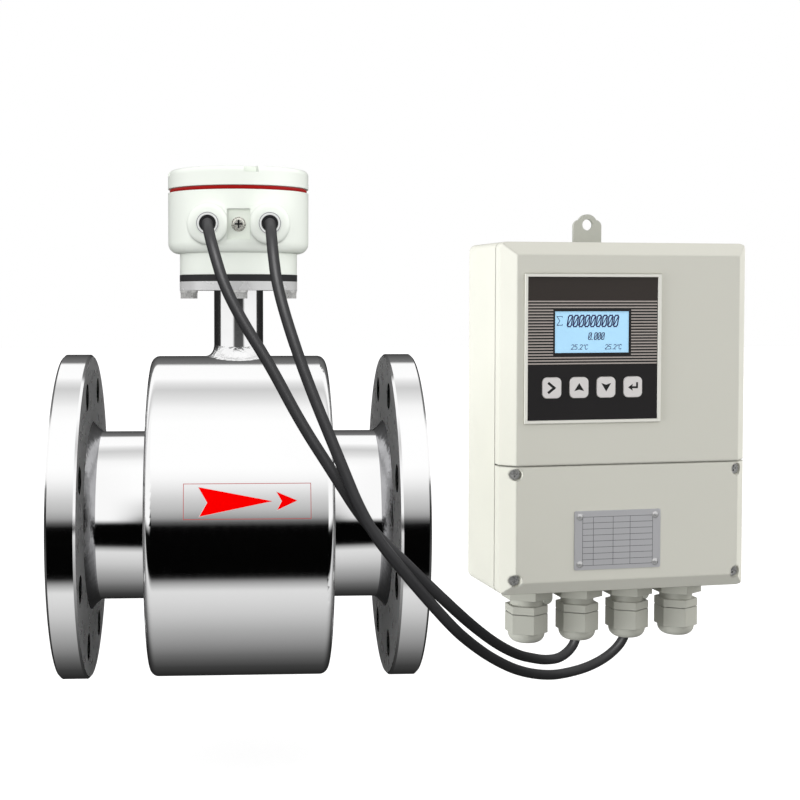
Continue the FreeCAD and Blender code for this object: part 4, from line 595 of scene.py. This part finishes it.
def cable(name, route, node):
    """A round cable on a smooth line that its route's points lead."""
    curve = bpy.data.curves.new(name, "CURVE")
    curve.dimensions = "3D"
    curve.bevel_depth = CABLE_DIAMETER / 2
    curve.bevel_resolution = 8
    curve.resolution_u = 16
    curve.use_fill_caps = True
    spline = curve.splines.new("NURBS")
    spline.points.add(len(route) - 1)
    for point, place in zip(spline.points, route):
        point.co = (*(Vector(place) * MM), 1)
    spline.order_u = 3
    spline.use_endpoint_u = True
    curve.materials.append(JACKET)
    piece = bpy.data.objects.new(name, curve)
    piece.visible_glossy = False
    bpy.context.scene.collection.objects.link(piece)
    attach(piece, "meter")
    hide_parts(node)
    return piece


def make_cables():
    return [
        cable("signal_lead", SIGNAL_ROUTE, "signal_cable"),
        cable("excitation_lead", EXCITATION_ROUTE, "excitation_cable"),
    ]


# ---------------------------------------------------------------- pipe and neck

PIPE_INNER, PIPE_OUTER, PIPE_END = 53.55, 57.15, 121.0
RIM_BACK, WELD_LEG, WELD_DISH = 100.0, 6.8, 0.3
NECK_RADIUS, NECK_INNER, NECK_WELD_LEG, NECK_WELD_HEIGHT = 16.85, 13.65, 6.0, 8.0
NECK_SUNK = 2.0  # how far the neck's foot reaches in under the drum's outside
ROUND_STEPS, PIPE_WELD_STEPS, NECK_WELD_STEPS = 144, 6, 8
SHARP_EDGE = math.radians(40)


def tube_mesh(name, rings, weld_rings, finishes, node):
    """A closed tube from rings of points, with its weld rings in the second finish."""
    mesh = bpy.data.meshes.new(name)
    bm = bmesh.new()
    loops = [[bm.verts.new(Vector(point) * MM) for point in ring] for ring in rings]
    for index, low in enumerate(loops):
        high = loops[(index + 1) % len(loops)]
        for i in range(ROUND_STEPS):
            j = (i + 1) % ROUND_STEPS
            face = bm.faces.new([low[i], low[j], high[j], high[i]])
            face.material_index = 1 if index in weld_rings else 0
            face.smooth = True
    bmesh.ops.recalc_face_normals(bm, faces=bm.faces)
    bm.to_mesh(mesh)
    bm.free()
    mesh.set_sharp_from_angle(angle=SHARP_EDGE)
    for finish in finishes:
        mesh.materials.append(finish)
    piece = bpy.data.objects.new(name, mesh)
    piece.visible_glossy = False
    bpy.context.scene.collection.objects.link(piece)
    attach(piece, "meter")
    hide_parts(node)


def pipe_ring(radius, along):
    """A ring of points round the pipe."""
    points = []
    for i in range(ROUND_STEPS):
        angle = 2 * math.pi * i / ROUND_STEPS
        points.append((along, radius * math.cos(angle), radius * math.sin(angle)))
    return points


def smooth_pipe():
    """The measuring pipe with a dished weld at each flange."""
    rings = [pipe_ring(PIPE_INNER, -PIPE_END), pipe_ring(PIPE_OUTER, -PIPE_END)]
    rings.append(pipe_ring(PIPE_OUTER, -RIM_BACK))
    steps = PIPE_WELD_STEPS
    start = len(rings)
    for i in range(steps + 1):
        rings.append(weld_ring(i / steps, -1))
    middle = len(rings)
    for i in range(steps + 1):
        rings.append(weld_ring(1 - i / steps, 1))
    rings.append(pipe_ring(PIPE_OUTER, RIM_BACK))
    rings += [pipe_ring(PIPE_OUTER, PIPE_END), pipe_ring(PIPE_INNER, PIPE_END)]
    welds = set(range(start, middle - 1)) | set(range(middle, middle + steps))
    tube_mesh("measuring_pipe", rings, welds, [STEEL, WELD_STEEL], "measuring_tube")


def weld_ring(part, side):
    """One ring of a flange weld, from the flange's back (0) to the pipe (1)."""
    dish = WELD_DISH * math.sin(math.pi * part)
    radius = PIPE_OUTER + WELD_LEG * (1 - part) - dish
    along = RIM_BACK - WELD_LEG * part + dish
    return pipe_ring(radius, side * along)


def neck_ring(radius, lift=None, height=None):
    """A ring round the neck, at a height or lifted from the drum under it."""
    points = []
    for i in range(ROUND_STEPS):
        angle = 2 * math.pi * i / ROUND_STEPS
        x, y = radius * math.cos(angle), radius * math.sin(angle)
        z = height if lift is None else math.sqrt(DRUM_RADIUS**2 - y**2) + lift
        points.append((x, y, z))
    return points


def smooth_neck():
    """The neck pipe, flared into its weld on the drum."""
    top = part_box("neck_tube")[1][2] / MM
    foot = NECK_RADIUS + NECK_WELD_LEG
    rings = [neck_ring(NECK_INNER, height=top), neck_ring(NECK_INNER, lift=-NECK_SUNK)]
    rings.append(neck_ring(foot, lift=-NECK_SUNK))
    steps = NECK_WELD_STEPS
    start = len(rings)
    for i in range(steps + 1):
        turned = math.radians(90 * i / steps)
        radius = NECK_RADIUS + NECK_WELD_LEG * (1 - math.sin(turned))
        rings.append(neck_ring(radius, lift=NECK_WELD_HEIGHT * (1 - math.cos(turned))))
    rings.append(neck_ring(NECK_RADIUS, height=top))
    welds = set(range(start, start + steps))
    tube_mesh("neck_pipe", rings, welds, [NECK_STEEL, NECK_WELD_STEEL], "neck_tube")


# ---------------------------------------------------------------- printed details

SLEEVE_LINE_OUTER, SLEEVE_LINE_INNER = 7.1, 6.75
# The earth screw's recess: the depth of its floor, and the reach and half width of the painted
# shade cross on it.
RECESS_DEPTH, RECESS_REACH, RECESS_HALF_WIDTH = 1.6, 2.6, 0.6
PANEL_LEFT, PANEL_RIGHT, PANEL_HIGH = 17.0, 115.3, 225.1
LCD_LEFT, LCD_RIGHT = 37.6, 93.7
LCD_LOW, LCD_HIGH = 171.7, 201.0
LCD_BOX = (LCD_LEFT, LCD_LOW, LCD_RIGHT, LCD_HIGH)
LCD_BORDER, LCD_OVERLAP, LCD_THICKNESS = 1.0, 0.3, 0.3
STRIPE_TOP, STRIPE_PITCH, STRIPE_COUNT, STRIPE_WIDTH = 208.0, 2.086, 22, 0.95
STRIPE_END_GAP, STRIPE_LCD_GAP, FIELD_MARGIN = 0.3, 1.4, 0.9
KEY_LEFTS = {"next_key": 28.3, "up_key": 48.7, "down_key": 69.1, "enter_key": 89.5}
KEY_LOW, KEY_WIDTH, KEY_HEIGHT = 140.0, 13.9, 14.5
# The painted shade ring round each key, where shade falls round the raised key: its gap from the
# key and its corner radius, inside and outside.
KEY_SHADE_INNER, KEY_SHADE_INNER_RADIUS = 0.36, 3.8
KEY_SHADE_OUTER, KEY_SHADE_OUTER_RADIUS = 1.4, 4.8


def sleeve_lines():
    """The fine grey edge of each white entry sleeve."""
    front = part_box("entry_sleeves")[0][1] / MM
    x, _, z = SIGNAL_ROUTE[0]
    rings = []
    for centre in (x, -x):
        outer = circle(centre, z, SLEEVE_LINE_OUTER)
        rings += ring_strip(outer, circle(centre, z, SLEEVE_LINE_INNER))
    printed("sleeve_lines", rings, PRINT_LINE, on_head(front), "meter")


def earth_recess_painted_shade():
    """Painted shade: a near-black cross at the bottom of the earth screw's cross recess, where
    shade falls.
    """
    low, high = (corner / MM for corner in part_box("earth_screw"))
    floor_depth = low[1] + RECESS_DEPTH
    z = (low[2] + high[2]) / 2
    long, thin = RECESS_REACH, RECESS_HALF_WIDTH
    bars = [
        rectangle(-long, z - thin, long, z + thin),
        rectangle(-thin, z - long, thin, z + long),
    ]
    printed("earth_recess_painted_shade", bars, PRINT_AND_SHADE_BLACK, on_head(floor_depth), "meter")


def print_panel():
    """Stripes, window border and the painted shade ring round each key on the dark overlay."""
    place = on_box(OVERLAY_FACE)
    left, low, right, high = widened(LCD_BOX, LCD_BORDER)
    field_low = STRIPE_TOP - STRIPE_PITCH * (STRIPE_COUNT - 1) - FIELD_MARGIN
    field_high = STRIPE_TOP + FIELD_MARGIN
    field = [
        rectangle(PANEL_LEFT, field_low, PANEL_RIGHT, low),
        rectangle(PANEL_LEFT, high, PANEL_RIGHT, field_high),
        rectangle(PANEL_LEFT, low, left, high),
        rectangle(right, low, PANEL_RIGHT, high),
    ]
    printed("stripe_field", field, PRINT_AND_SHADE_BLACK, place, "meter", FIELD_LIFT)
    band = [rectangle(PANEL_LEFT, field_high, PANEL_RIGHT, PANEL_HIGH)]
    printed("panel_band", band, PRINT_BROWN, place, "meter", FIELD_LIFT)
    stripes = panel_stripes(low, high)
    printed("panel_stripes", stripes, PRINT_GREY, place, "meter", STRIPE_LIFT)
    rings = frame_strips(left, low, right, high, LCD_BORDER)
    # A near-black ring round each key: painted shade round the raised key.
    for key_left in KEY_LEFTS.values():
        key = (key_left, KEY_LOW, key_left + KEY_WIDTH, KEY_LOW + KEY_HEIGHT)
        inner = rounded(*widened(key, KEY_SHADE_INNER), KEY_SHADE_INNER_RADIUS)
        outer = rounded(*widened(key, KEY_SHADE_OUTER), KEY_SHADE_OUTER_RADIUS)
        rings += ring_strip(outer, inner)
    printed("panel_outlines_and_key_shade", rings, PRINT_AND_SHADE_BLACK, place, "meter")


def panel_stripes(window_low, window_high):
    """The pale stripes, each in two parts where it meets the window."""
    start, end = PANEL_LEFT + STRIPE_END_GAP, PANEL_RIGHT - STRIPE_END_GAP
    whole = [(start, end)]
    parted = [(start, LCD_LEFT - STRIPE_LCD_GAP), (LCD_RIGHT + STRIPE_LCD_GAP, end)]
    stripes = []
    for i in range(STRIPE_COUNT):
        z = STRIPE_TOP - STRIPE_PITCH * i
        low, high = z - STRIPE_WIDTH / 2, z + STRIPE_WIDTH / 2
        meets_window = high > window_low and low < window_high
        ends = parted if meets_window else whole
        stripes += [rectangle(left, low, right, high) for left, right in ends]
    return stripes


def key_symbols():
    """The chevron, up, down and enter marks on the keys."""
    marks = {
        "next_key": stroke([(-2.2, 3.1), (1.7, 0), (-2.2, -3.1)], 1.8),
        "up_key": [[(-3.7, -2.5), (0, 3.2), (0, -1.4)], [(0, -1.4), (0, 3.2), (3.7, -2.5)]],
        "down_key": [[(-3.7, 3.0), (0, 1.8), (0, -3.0)], [(0, -3.0), (0, 1.8), (3.7, 3.0)]],
        "enter_key": stroke([(3.1, 2.6), (3.1, -0.3), (-1.0, -0.3)], 1.4)
        + [[(-3.7, -0.3), (-0.2, 2.1), (-0.7, -0.3)], [(-3.7, -0.3), (-0.7, -0.3), (-0.2, -2.7)]],
    }
    for name, shapes in marks.items():
        x = KEY_LEFTS[name] + KEY_WIDTH / 2
        z = KEY_LOW + KEY_HEIGHT / 2
        moved = [[(x + px, z + pz) for px, pz in shape] for shape in shapes]
        place = on_box(KEY_FACE)
        printed(f"{name}_mark", moved, PRINT_AND_SHADE_BLACK, place, f"{name}_cap")


def slanted(points, x, z, width, height, lean=0.16):
    """A glyph drawn in a unit cell, put in place with a slight lean."""
    return [(x + px * width + pz * height * lean, z + pz * height) for px, pz in points]


# Glyphs in a cell one wide and one high.
ZERO = [
    (0.25, 0), (0.75, 0), (1, 0.14), (1, 0.86), (0.75, 1), (0.25, 1), (0, 0.86), (0, 0.14),
    (0.25, 0),
]
SLASH = [(0.12, 0.12), (0.88, 0.88)]
TWO = [(0, 0.85), (0.25, 1), (0.75, 1), (1, 0.8), (1, 0.62), (0, 0.0), (1, 0)]
FIVE = [(1, 1), (0, 1), (0, 0.56), (0.7, 0.56), (1, 0.4), (1, 0.15), (0.75, 0), (0, 0)]
SIGMA = [(1, 0.9), (1, 1), (0, 1), (0.55, 0.5), (0, 0), (1, 0), (1, 0.12)]
LETTER_C = [(1, 0.85), (0.75, 1), (0.25, 1), (0, 0.8), (0, 0.2), (0.25, 0), (0.75, 0), (1, 0.15)]
DEGREE = [(0.2, 0.75), (0.5, 0.75), (0.5, 1), (0.2, 1), (0.2, 0.75)]


def lcd_picture():
    """The lit face of the display and the figures on it."""
    glow = [rectangle(*widened(LCD_BOX, LCD_OVERLAP))]
    behind = on_box(LCD_FACE + LCD_THICKNESS)
    printed("lcd_face", glow, LCD, behind, "meter", LCD_THICKNESS)
    place = on_box(LCD_FACE)
    printed("lcd_digits", total_row(), LCD_INK, place, "meter", DIGIT_LIFT)
    faint = flow_row() + sum_sign() + temperature_row()
    printed("lcd_small_digits", faint, LCD_FAINT, place, "meter", DIGIT_LIFT)


def slashed_zero(x, low, width, height, line, slash_line):
    zero = stroke(slanted(ZERO, x, low, width, height), line)
    return zero + stroke(slanted(SLASH, x, low, width, height), slash_line)


def total_row():
    """Nine large zeros."""
    left, pitch = 47.0, 4.35
    parts = []
    for i in range(9):
        parts += slashed_zero(
            left + pitch * i, low=190.2, width=3.1, height=7.9, line=0.95, slash_line=0.7
        )
    return parts


def flow_row():
    """One small zero, a point and three more zeros."""
    left, low, pitch, line = 63.0, 181.0, 2.7, 0.6
    point_left, point_width = left + pitch, 0.4
    closer = 1.0  # the point takes less room than a figure
    parts = []
    for i in (0, 2, 3, 4):
        x = left + pitch * i - (closer if i else 0)
        parts += slashed_zero(x, low, width=1.9, height=4.8, line=line, slash_line=0.5)
    return parts + stroke([(point_left, low), (point_left + point_width, low)], line)


def sum_sign():
    upright = 0
    outline = slanted(SIGMA, 39.4, 191.2, width=4.0, height=6.2, lean=upright)
    return stroke(outline, 0.45)


def temperature_row():
    """The same temperature twice, in degrees."""
    low, width, height, line = 174.2, 1.7, 3.2, 0.45
    digit_shifts = ((TWO, 0), (FIVE, 2.5), (TWO, 6.4))
    point_shift, point_width, point_line = 5.2, 0.3, 0.4
    degree_shift, degree_width, degree_line = 8.8, 1.6, 0.3
    letter_shift = 10.4
    parts = []
    for start in (50.2, 75.8):
        for glyph, shift in digit_shifts:
            parts += stroke(slanted(glyph, start + shift, low, width, height), line)
        point = start + point_shift
        parts += stroke([(point, low), (point + point_width, low)], point_line)
        degree = slanted(DEGREE, start + degree_shift, low, degree_width, height)
        parts += stroke(degree, degree_line)
        parts += stroke(slanted(LETTER_C, start + letter_shift, low, width, height), line)
    return parts


def rule_nameplate():
    """Bare ruled rows on the metal plate."""
    left, right, low, high = 58.7, 112.4, 20.6, 55.4
    columns = (67.0, 82.0, 95.0)
    rows, width = 8, 0.3
    lines = frame_strips(left, low, right, high, width)
    pitch = (high - low) / rows
    for i in range(1, rows):
        z = low + pitch * i
        lines.append(rectangle(left, z - width / 2, right, z + width / 2))
    for x in columns:
        lines.append(rectangle(x - width / 2, low, x + width / 2, high))
    place = on_box(PLATE_FACE)
    printed("plate_rules", lines, PRINT_RULE, place, "meter", RULE_LIFT)


def drum_label():
    """The flow arrows and their thin outline, wrapped on the drum; gives the red arrows."""
    left, right, low, high = -34.5, 44.3, 13.0, 35.2
    line, rim = 0.4, 0.7
    rim_lift, line_lift, arrow_lift = 0.06, 0.08, 0.12
    outline = []
    steps = 8
    for strip in frame_strips(left, low, right, high, line):
        (x0, z0), (x1, _), (_, z1), _ = strip
        for i in range(steps):
            a = z0 + (z1 - z0) * i / steps
            b = z0 + (z1 - z0) * (i + 1) / steps
            outline.append(rectangle(x0, a, x1, b))
    printed("label_outline", outline, PRINT_THIN_RED, on_drum, "meter", line_lift)
    big = [(-25.1, 32.9), (20.3, 24.0), (-24.5, 14.9), (-19.7, 23.3)]
    small = [(22.9, 29.7), (35.6, 24.3), (23.2, 18.5), (26.2, 24.0)]
    arrows = []
    for name, arrow in (("flow_arrow_large", big), ("flow_arrow_small", small)):
        arrow_halves(f"{name}_rim", grow(arrow, rim), PRINT_WHITE, rim_lift)
        arrows.append(arrow_halves(name, arrow, PRINT_RED, arrow_lift))
    return arrows


def grow(points, distance):
    """The outline moved outwards by about this distance."""
    cx = sum(x for x, _ in points) / len(points)
    cz = sum(z for _, z in points) / len(points)
    grown = []
    for x, z in points:
        length = math.hypot(x - cx, z - cz)
        grown.append((x + (x - cx) / length * distance, z + (z - cz) / length * distance))
    return grown


def arrow_halves(name, arrow, finish, lift):
    """A swallow-tailed arrow, sliced into narrow strips so that it follows the drum."""
    tail_high, nose, tail_low, notch = arrow
    strips = 16
    shapes = []
    for tail in (tail_high, tail_low):
        for i in range(strips):
            near, far = i / strips, (i + 1) / strips
            shape = [between(notch, tail, near), between(nose, tail, near)]
            shape.append(between(nose, tail, far))
            if far < 1:  # at the tail's tip both edges meet
                shape.append(between(notch, tail, far))
            shapes.append(shape)
    return printed(name, shapes, finish, on_drum, "meter", lift)


def between(start, end, part):
    return (start[0] + (end[0] - start[0]) * part, start[1] + (end[1] - start[1]) * part)


# ---------------------------------------------------------------- studio


def studio_world():
    """White to the camera, soft light to dull finishes, and bands and side boxes to metal."""
    world = bpy.data.worlds.new("studio")
    bpy.context.scene.world = world
    world.use_nodes = True
    tree = world.node_tree
    tree.nodes.clear()
    add = tree.nodes.new
    coords = add("ShaderNodeTexCoord")
    axes = add("ShaderNodeSeparateXYZ")
    link(tree, coords.outputs["Generated"], axes.inputs["Vector"])
    flipped = maths(tree, "MULTIPLY", axes.outputs["Y"], -1)
    angle = maths(tree, "ARCTAN2", axes.outputs["Z"], flipped)
    share = maths(tree, "ADD", maths(tree, "DIVIDE", angle, 2 * math.pi), 0.5)
    ramp = add("ShaderNodeValToRGB")
    fill_ramp(ramp.color_ramp, REFLECTED)
    link(tree, share, ramp.inputs["Fac"])
    sideways = maths(tree, "ABSOLUTE", axes.outputs["X"])
    beside = smooth(tree, sideways, *SIDE_BOX_BESIDE)
    ahead = smooth(tree, flipped, *SIDE_BOX_AHEAD)
    above = smooth(tree, axes.outputs["Z"], *SIDE_BOX_ABOVE)
    side = maths(tree, "MULTIPLY", maths(tree, "MULTIPLY", beside, ahead), above)
    seen = add("ShaderNodeMix")
    seen.data_type = "RGBA"
    seen.inputs["B"].default_value = (SIDE_BOX_LEVEL, SIDE_BOX_LEVEL, SIDE_BOX_LEVEL, 1)
    link(tree, side, seen.inputs["Factor"])
    link(tree, ramp.outputs["Color"], seen.inputs["A"])
    rays = add("ShaderNodeLightPath")
    lit = add("ShaderNodeMix")
    lit.data_type = "RGBA"
    beside_light = maths(tree, "MULTIPLY", axes.outputs["X"], axes.outputs["X"])
    beside_light = maths(tree, "MULTIPLY", beside_light, SIDE_LIGHT)
    above_light = maths(tree, "MULTIPLY", axes.outputs["Z"], TOP_LIGHT)
    soft = maths(tree, "ADD", maths(tree, "ADD", beside_light, above_light), WORLD_LIGHT)
    link(tree, soft, lit.inputs["A"])
    link(tree, rays.outputs["Is Glossy Ray"], lit.inputs["Factor"])
    link(tree, seen.outputs["Result"], lit.inputs["B"])
    shown = add("ShaderNodeMix")
    shown.data_type = "RGBA"
    shown.inputs["B"].default_value = (1, 1, 1, 1)
    direct = maths(
        tree, "MAXIMUM", rays.outputs["Is Camera Ray"], rays.outputs["Is Transmission Ray"]
    )
    link(tree, direct, shown.inputs["Factor"])
    link(tree, lit.outputs["Result"], shown.inputs["A"])
    background = add("ShaderNodeBackground")
    output = add("ShaderNodeOutputWorld")
    link(tree, shown.outputs["Result"], background.inputs["Color"])
    link(tree, background.outputs["Background"], output.inputs["Surface"])


# What polished metal sees, by angle: 0 is the camera's side, 90 overhead, -90 below.
REFLECTED = [
    (-180, 34),
    (-146, 40),
    (-128, 60),
    (-117, 84),
    (-108, 104),
    (-93, 143),
    (-80, 168),
    (-64, 200),
    (-54, 213),
    (-46, 220),
    (-40, 160),
    (-36, 30),
    (-33, 3),
    (-3, 3),
    (0, 12),
    (3, 92),
    (6, 156),
    (11, 185),
    (19, 208),
    (27, 234),
    (33, 248),
    (40, 255),
    (76, 255),
    (88, 246),
    (96, 226),
    (107, 204),
    (114, 226),
    (121, 253),
    (142, 250),
    (146, 116),
    (156, 98),
    (180, 34),
]
# Bright boxes that metal sees at both sides: where they fade in, and their level.
SIDE_BOX_BESIDE, SIDE_BOX_AHEAD, SIDE_BOX_ABOVE = (0.30, 0.50), (-0.10, 0.06), (-0.10, 0.03)
SIDE_BOX_LEVEL = 1.1
# What lights everything but metal's mirror images.
WORLD_LIGHT, SIDE_LIGHT, TOP_LIGHT = 0.48, 1.0, 0.3


def fill_ramp(ramp, stops):
    """Put display values by angle in a colour ramp, corrected for the metal's own colour."""
    elements = ramp.elements
    while len(elements) > 1:
        elements.remove(elements[-1])
    for index, (angle, value) in enumerate(stops):
        position = (angle + 180) / 360
        level = linear(value) / STEEL_REFLECTANCE
        element = elements[0] if index == 0 else elements.new(position)
        element.position = position
        element.color = (level, level, level, 1)


def lamp(name, place, aim, size, power):
    """A soft square lamp that metal doesn't mirror."""
    data = bpy.data.lights.new(name, "AREA")
    data.shape = "SQUARE"
    data.size = size
    data.energy = power
    made = bpy.data.objects.new(name, data)
    bpy.context.scene.collection.objects.link(made)
    made.location = place
    made.rotation_euler = (Vector(aim) - Vector(place)).to_track_quat("-Z", "Y").to_euler()
    made.visible_glossy = False
    return made


HEAD = "head_body head_lid lid_seal entry_sleeves"
TRANSMITTER = (
    "rear_housing display_cover terminal_cover display_bezel top_lug bottom_lugs gland_bodies "
    "gland_lock_nuts gland_caps"
)


def lamps(leads, arrows):
    """One lamp for everything, and soft ones for the head, the box and the cables alone."""
    head = [NODES[name] for name in HEAD.split()]
    transmitter = [NODES[name] for name in TRANSMITTER.split()]
    lamp("top", place=(0.2, -0.5, 1.5), aim=(0.15, 0, 0), size=1.2, power=1.8)
    front = lamp("head_front", place=(-0.5, -1.5, 0.4), aim=(0.1, 0, 0.1), size=1.0, power=7)
    light_only(front, head + arrows)
    right = lamp("head_right", place=(1.1, -0.5, 0.3), aim=(0, 0, 0.2), size=0.5, power=2.5)
    light_only(right, head)
    left = lamp(
        "box_left", place=(-1.3, -0.35, -0.2), aim=(0.2, 0.04, 0.04), size=0.9, power=28
    )
    left.data.color = (0.95, 0.97, 1.0)
    light_only(left, transmitter)
    right = lamp("box_right", place=(1.9, 0.1, 0.4), aim=(0.4, 0.04, 0.06), size=0.9, power=17)
    light_only(right, transmitter)
    sheen = lamp("lead_sheen", place=(-0.1, -1.15, 1.2), aim=(0.1, 0, 0), size=1.2, power=70)
    sheen.visible_glossy = True
    light_only(sheen, leads)


def light_only(source, pieces):
    """Let a lamp light just these pieces, and let only them shade it."""
    group = bpy.data.collections.new(f"{source.name}_receivers")
    for piece in pieces:
        group.objects.link(piece)
    source.light_linking.receiver_collection = group
    source.light_linking.blocker_collection = group


FLOOR_HEIGHT, FLOOR_REACH = -0.17, 8
FLOOR_GREY, FLOOR_GLOW = 0.5, 0.75


def floor():
    """A plain floor that glows pale to the camera and keeps a soft shadow."""
    mesh = bpy.data.meshes.new("studio_floor")
    bm = bmesh.new()
    bmesh.ops.create_grid(bm, x_segments=1, y_segments=1, size=FLOOR_REACH)
    bm.to_mesh(mesh)
    bm.free()
    piece = bpy.data.objects.new("studio_floor", mesh)
    piece.location = (0, 0, FLOOR_HEIGHT)
    piece.visible_glossy = False
    bpy.context.scene.collection.objects.link(piece)
    made = bpy.data.materials.new("pale_floor")
    made.use_nodes = True
    tree = made.node_tree
    shader = tree.nodes["Principled BSDF"]
    shader.inputs["Base Color"].default_value = (FLOOR_GREY, FLOOR_GREY, FLOOR_GREY, 1)
    shader.inputs["Roughness"].default_value = 0.9
    shader.inputs["Specular IOR Level"].default_value = 0
    shader.inputs["Emission Color"].default_value = (1, 1, 1, 1)
    rays = tree.nodes.new("ShaderNodeLightPath")
    glow = maths(tree, "MULTIPLY", rays.outputs["Is Camera Ray"], FLOOR_GLOW)
    link(tree, glow, shader.inputs["Emission Strength"])
    mesh.materials.append(made)


def camera():
    """The photograph's viewpoint: above the pipe, tilted down and panned a little."""
    data = bpy.data.cameras.new("camera")
    data.lens = 62.333
    data.sensor_width = 36
    data.shift_x = 0.11
    data.shift_y = -0.0625
    data.clip_start = 0.05
    data.clip_end = 50
    made = bpy.data.objects.new("camera", data)
    made.location = (-0.00172, -0.95508, 0.148)
    made.rotation_euler = Euler((math.radians(87.902), 0, math.radians(-3.133)))
    bpy.context.scene.collection.objects.link(made)
    bpy.context.scene.camera = made


camera()
leads = make_cables()
finish_nodes()
smooth_pipe()
smooth_neck()
sleeve_lines()
earth_recess_painted_shade()
print_panel()
key_symbols()
lcd_picture()
rule_nameplate()
arrows = drum_label()
studio_world()
lamps(leads, arrows)
floor()
bpy.context.scene.view_settings.view_transform = "Standard"
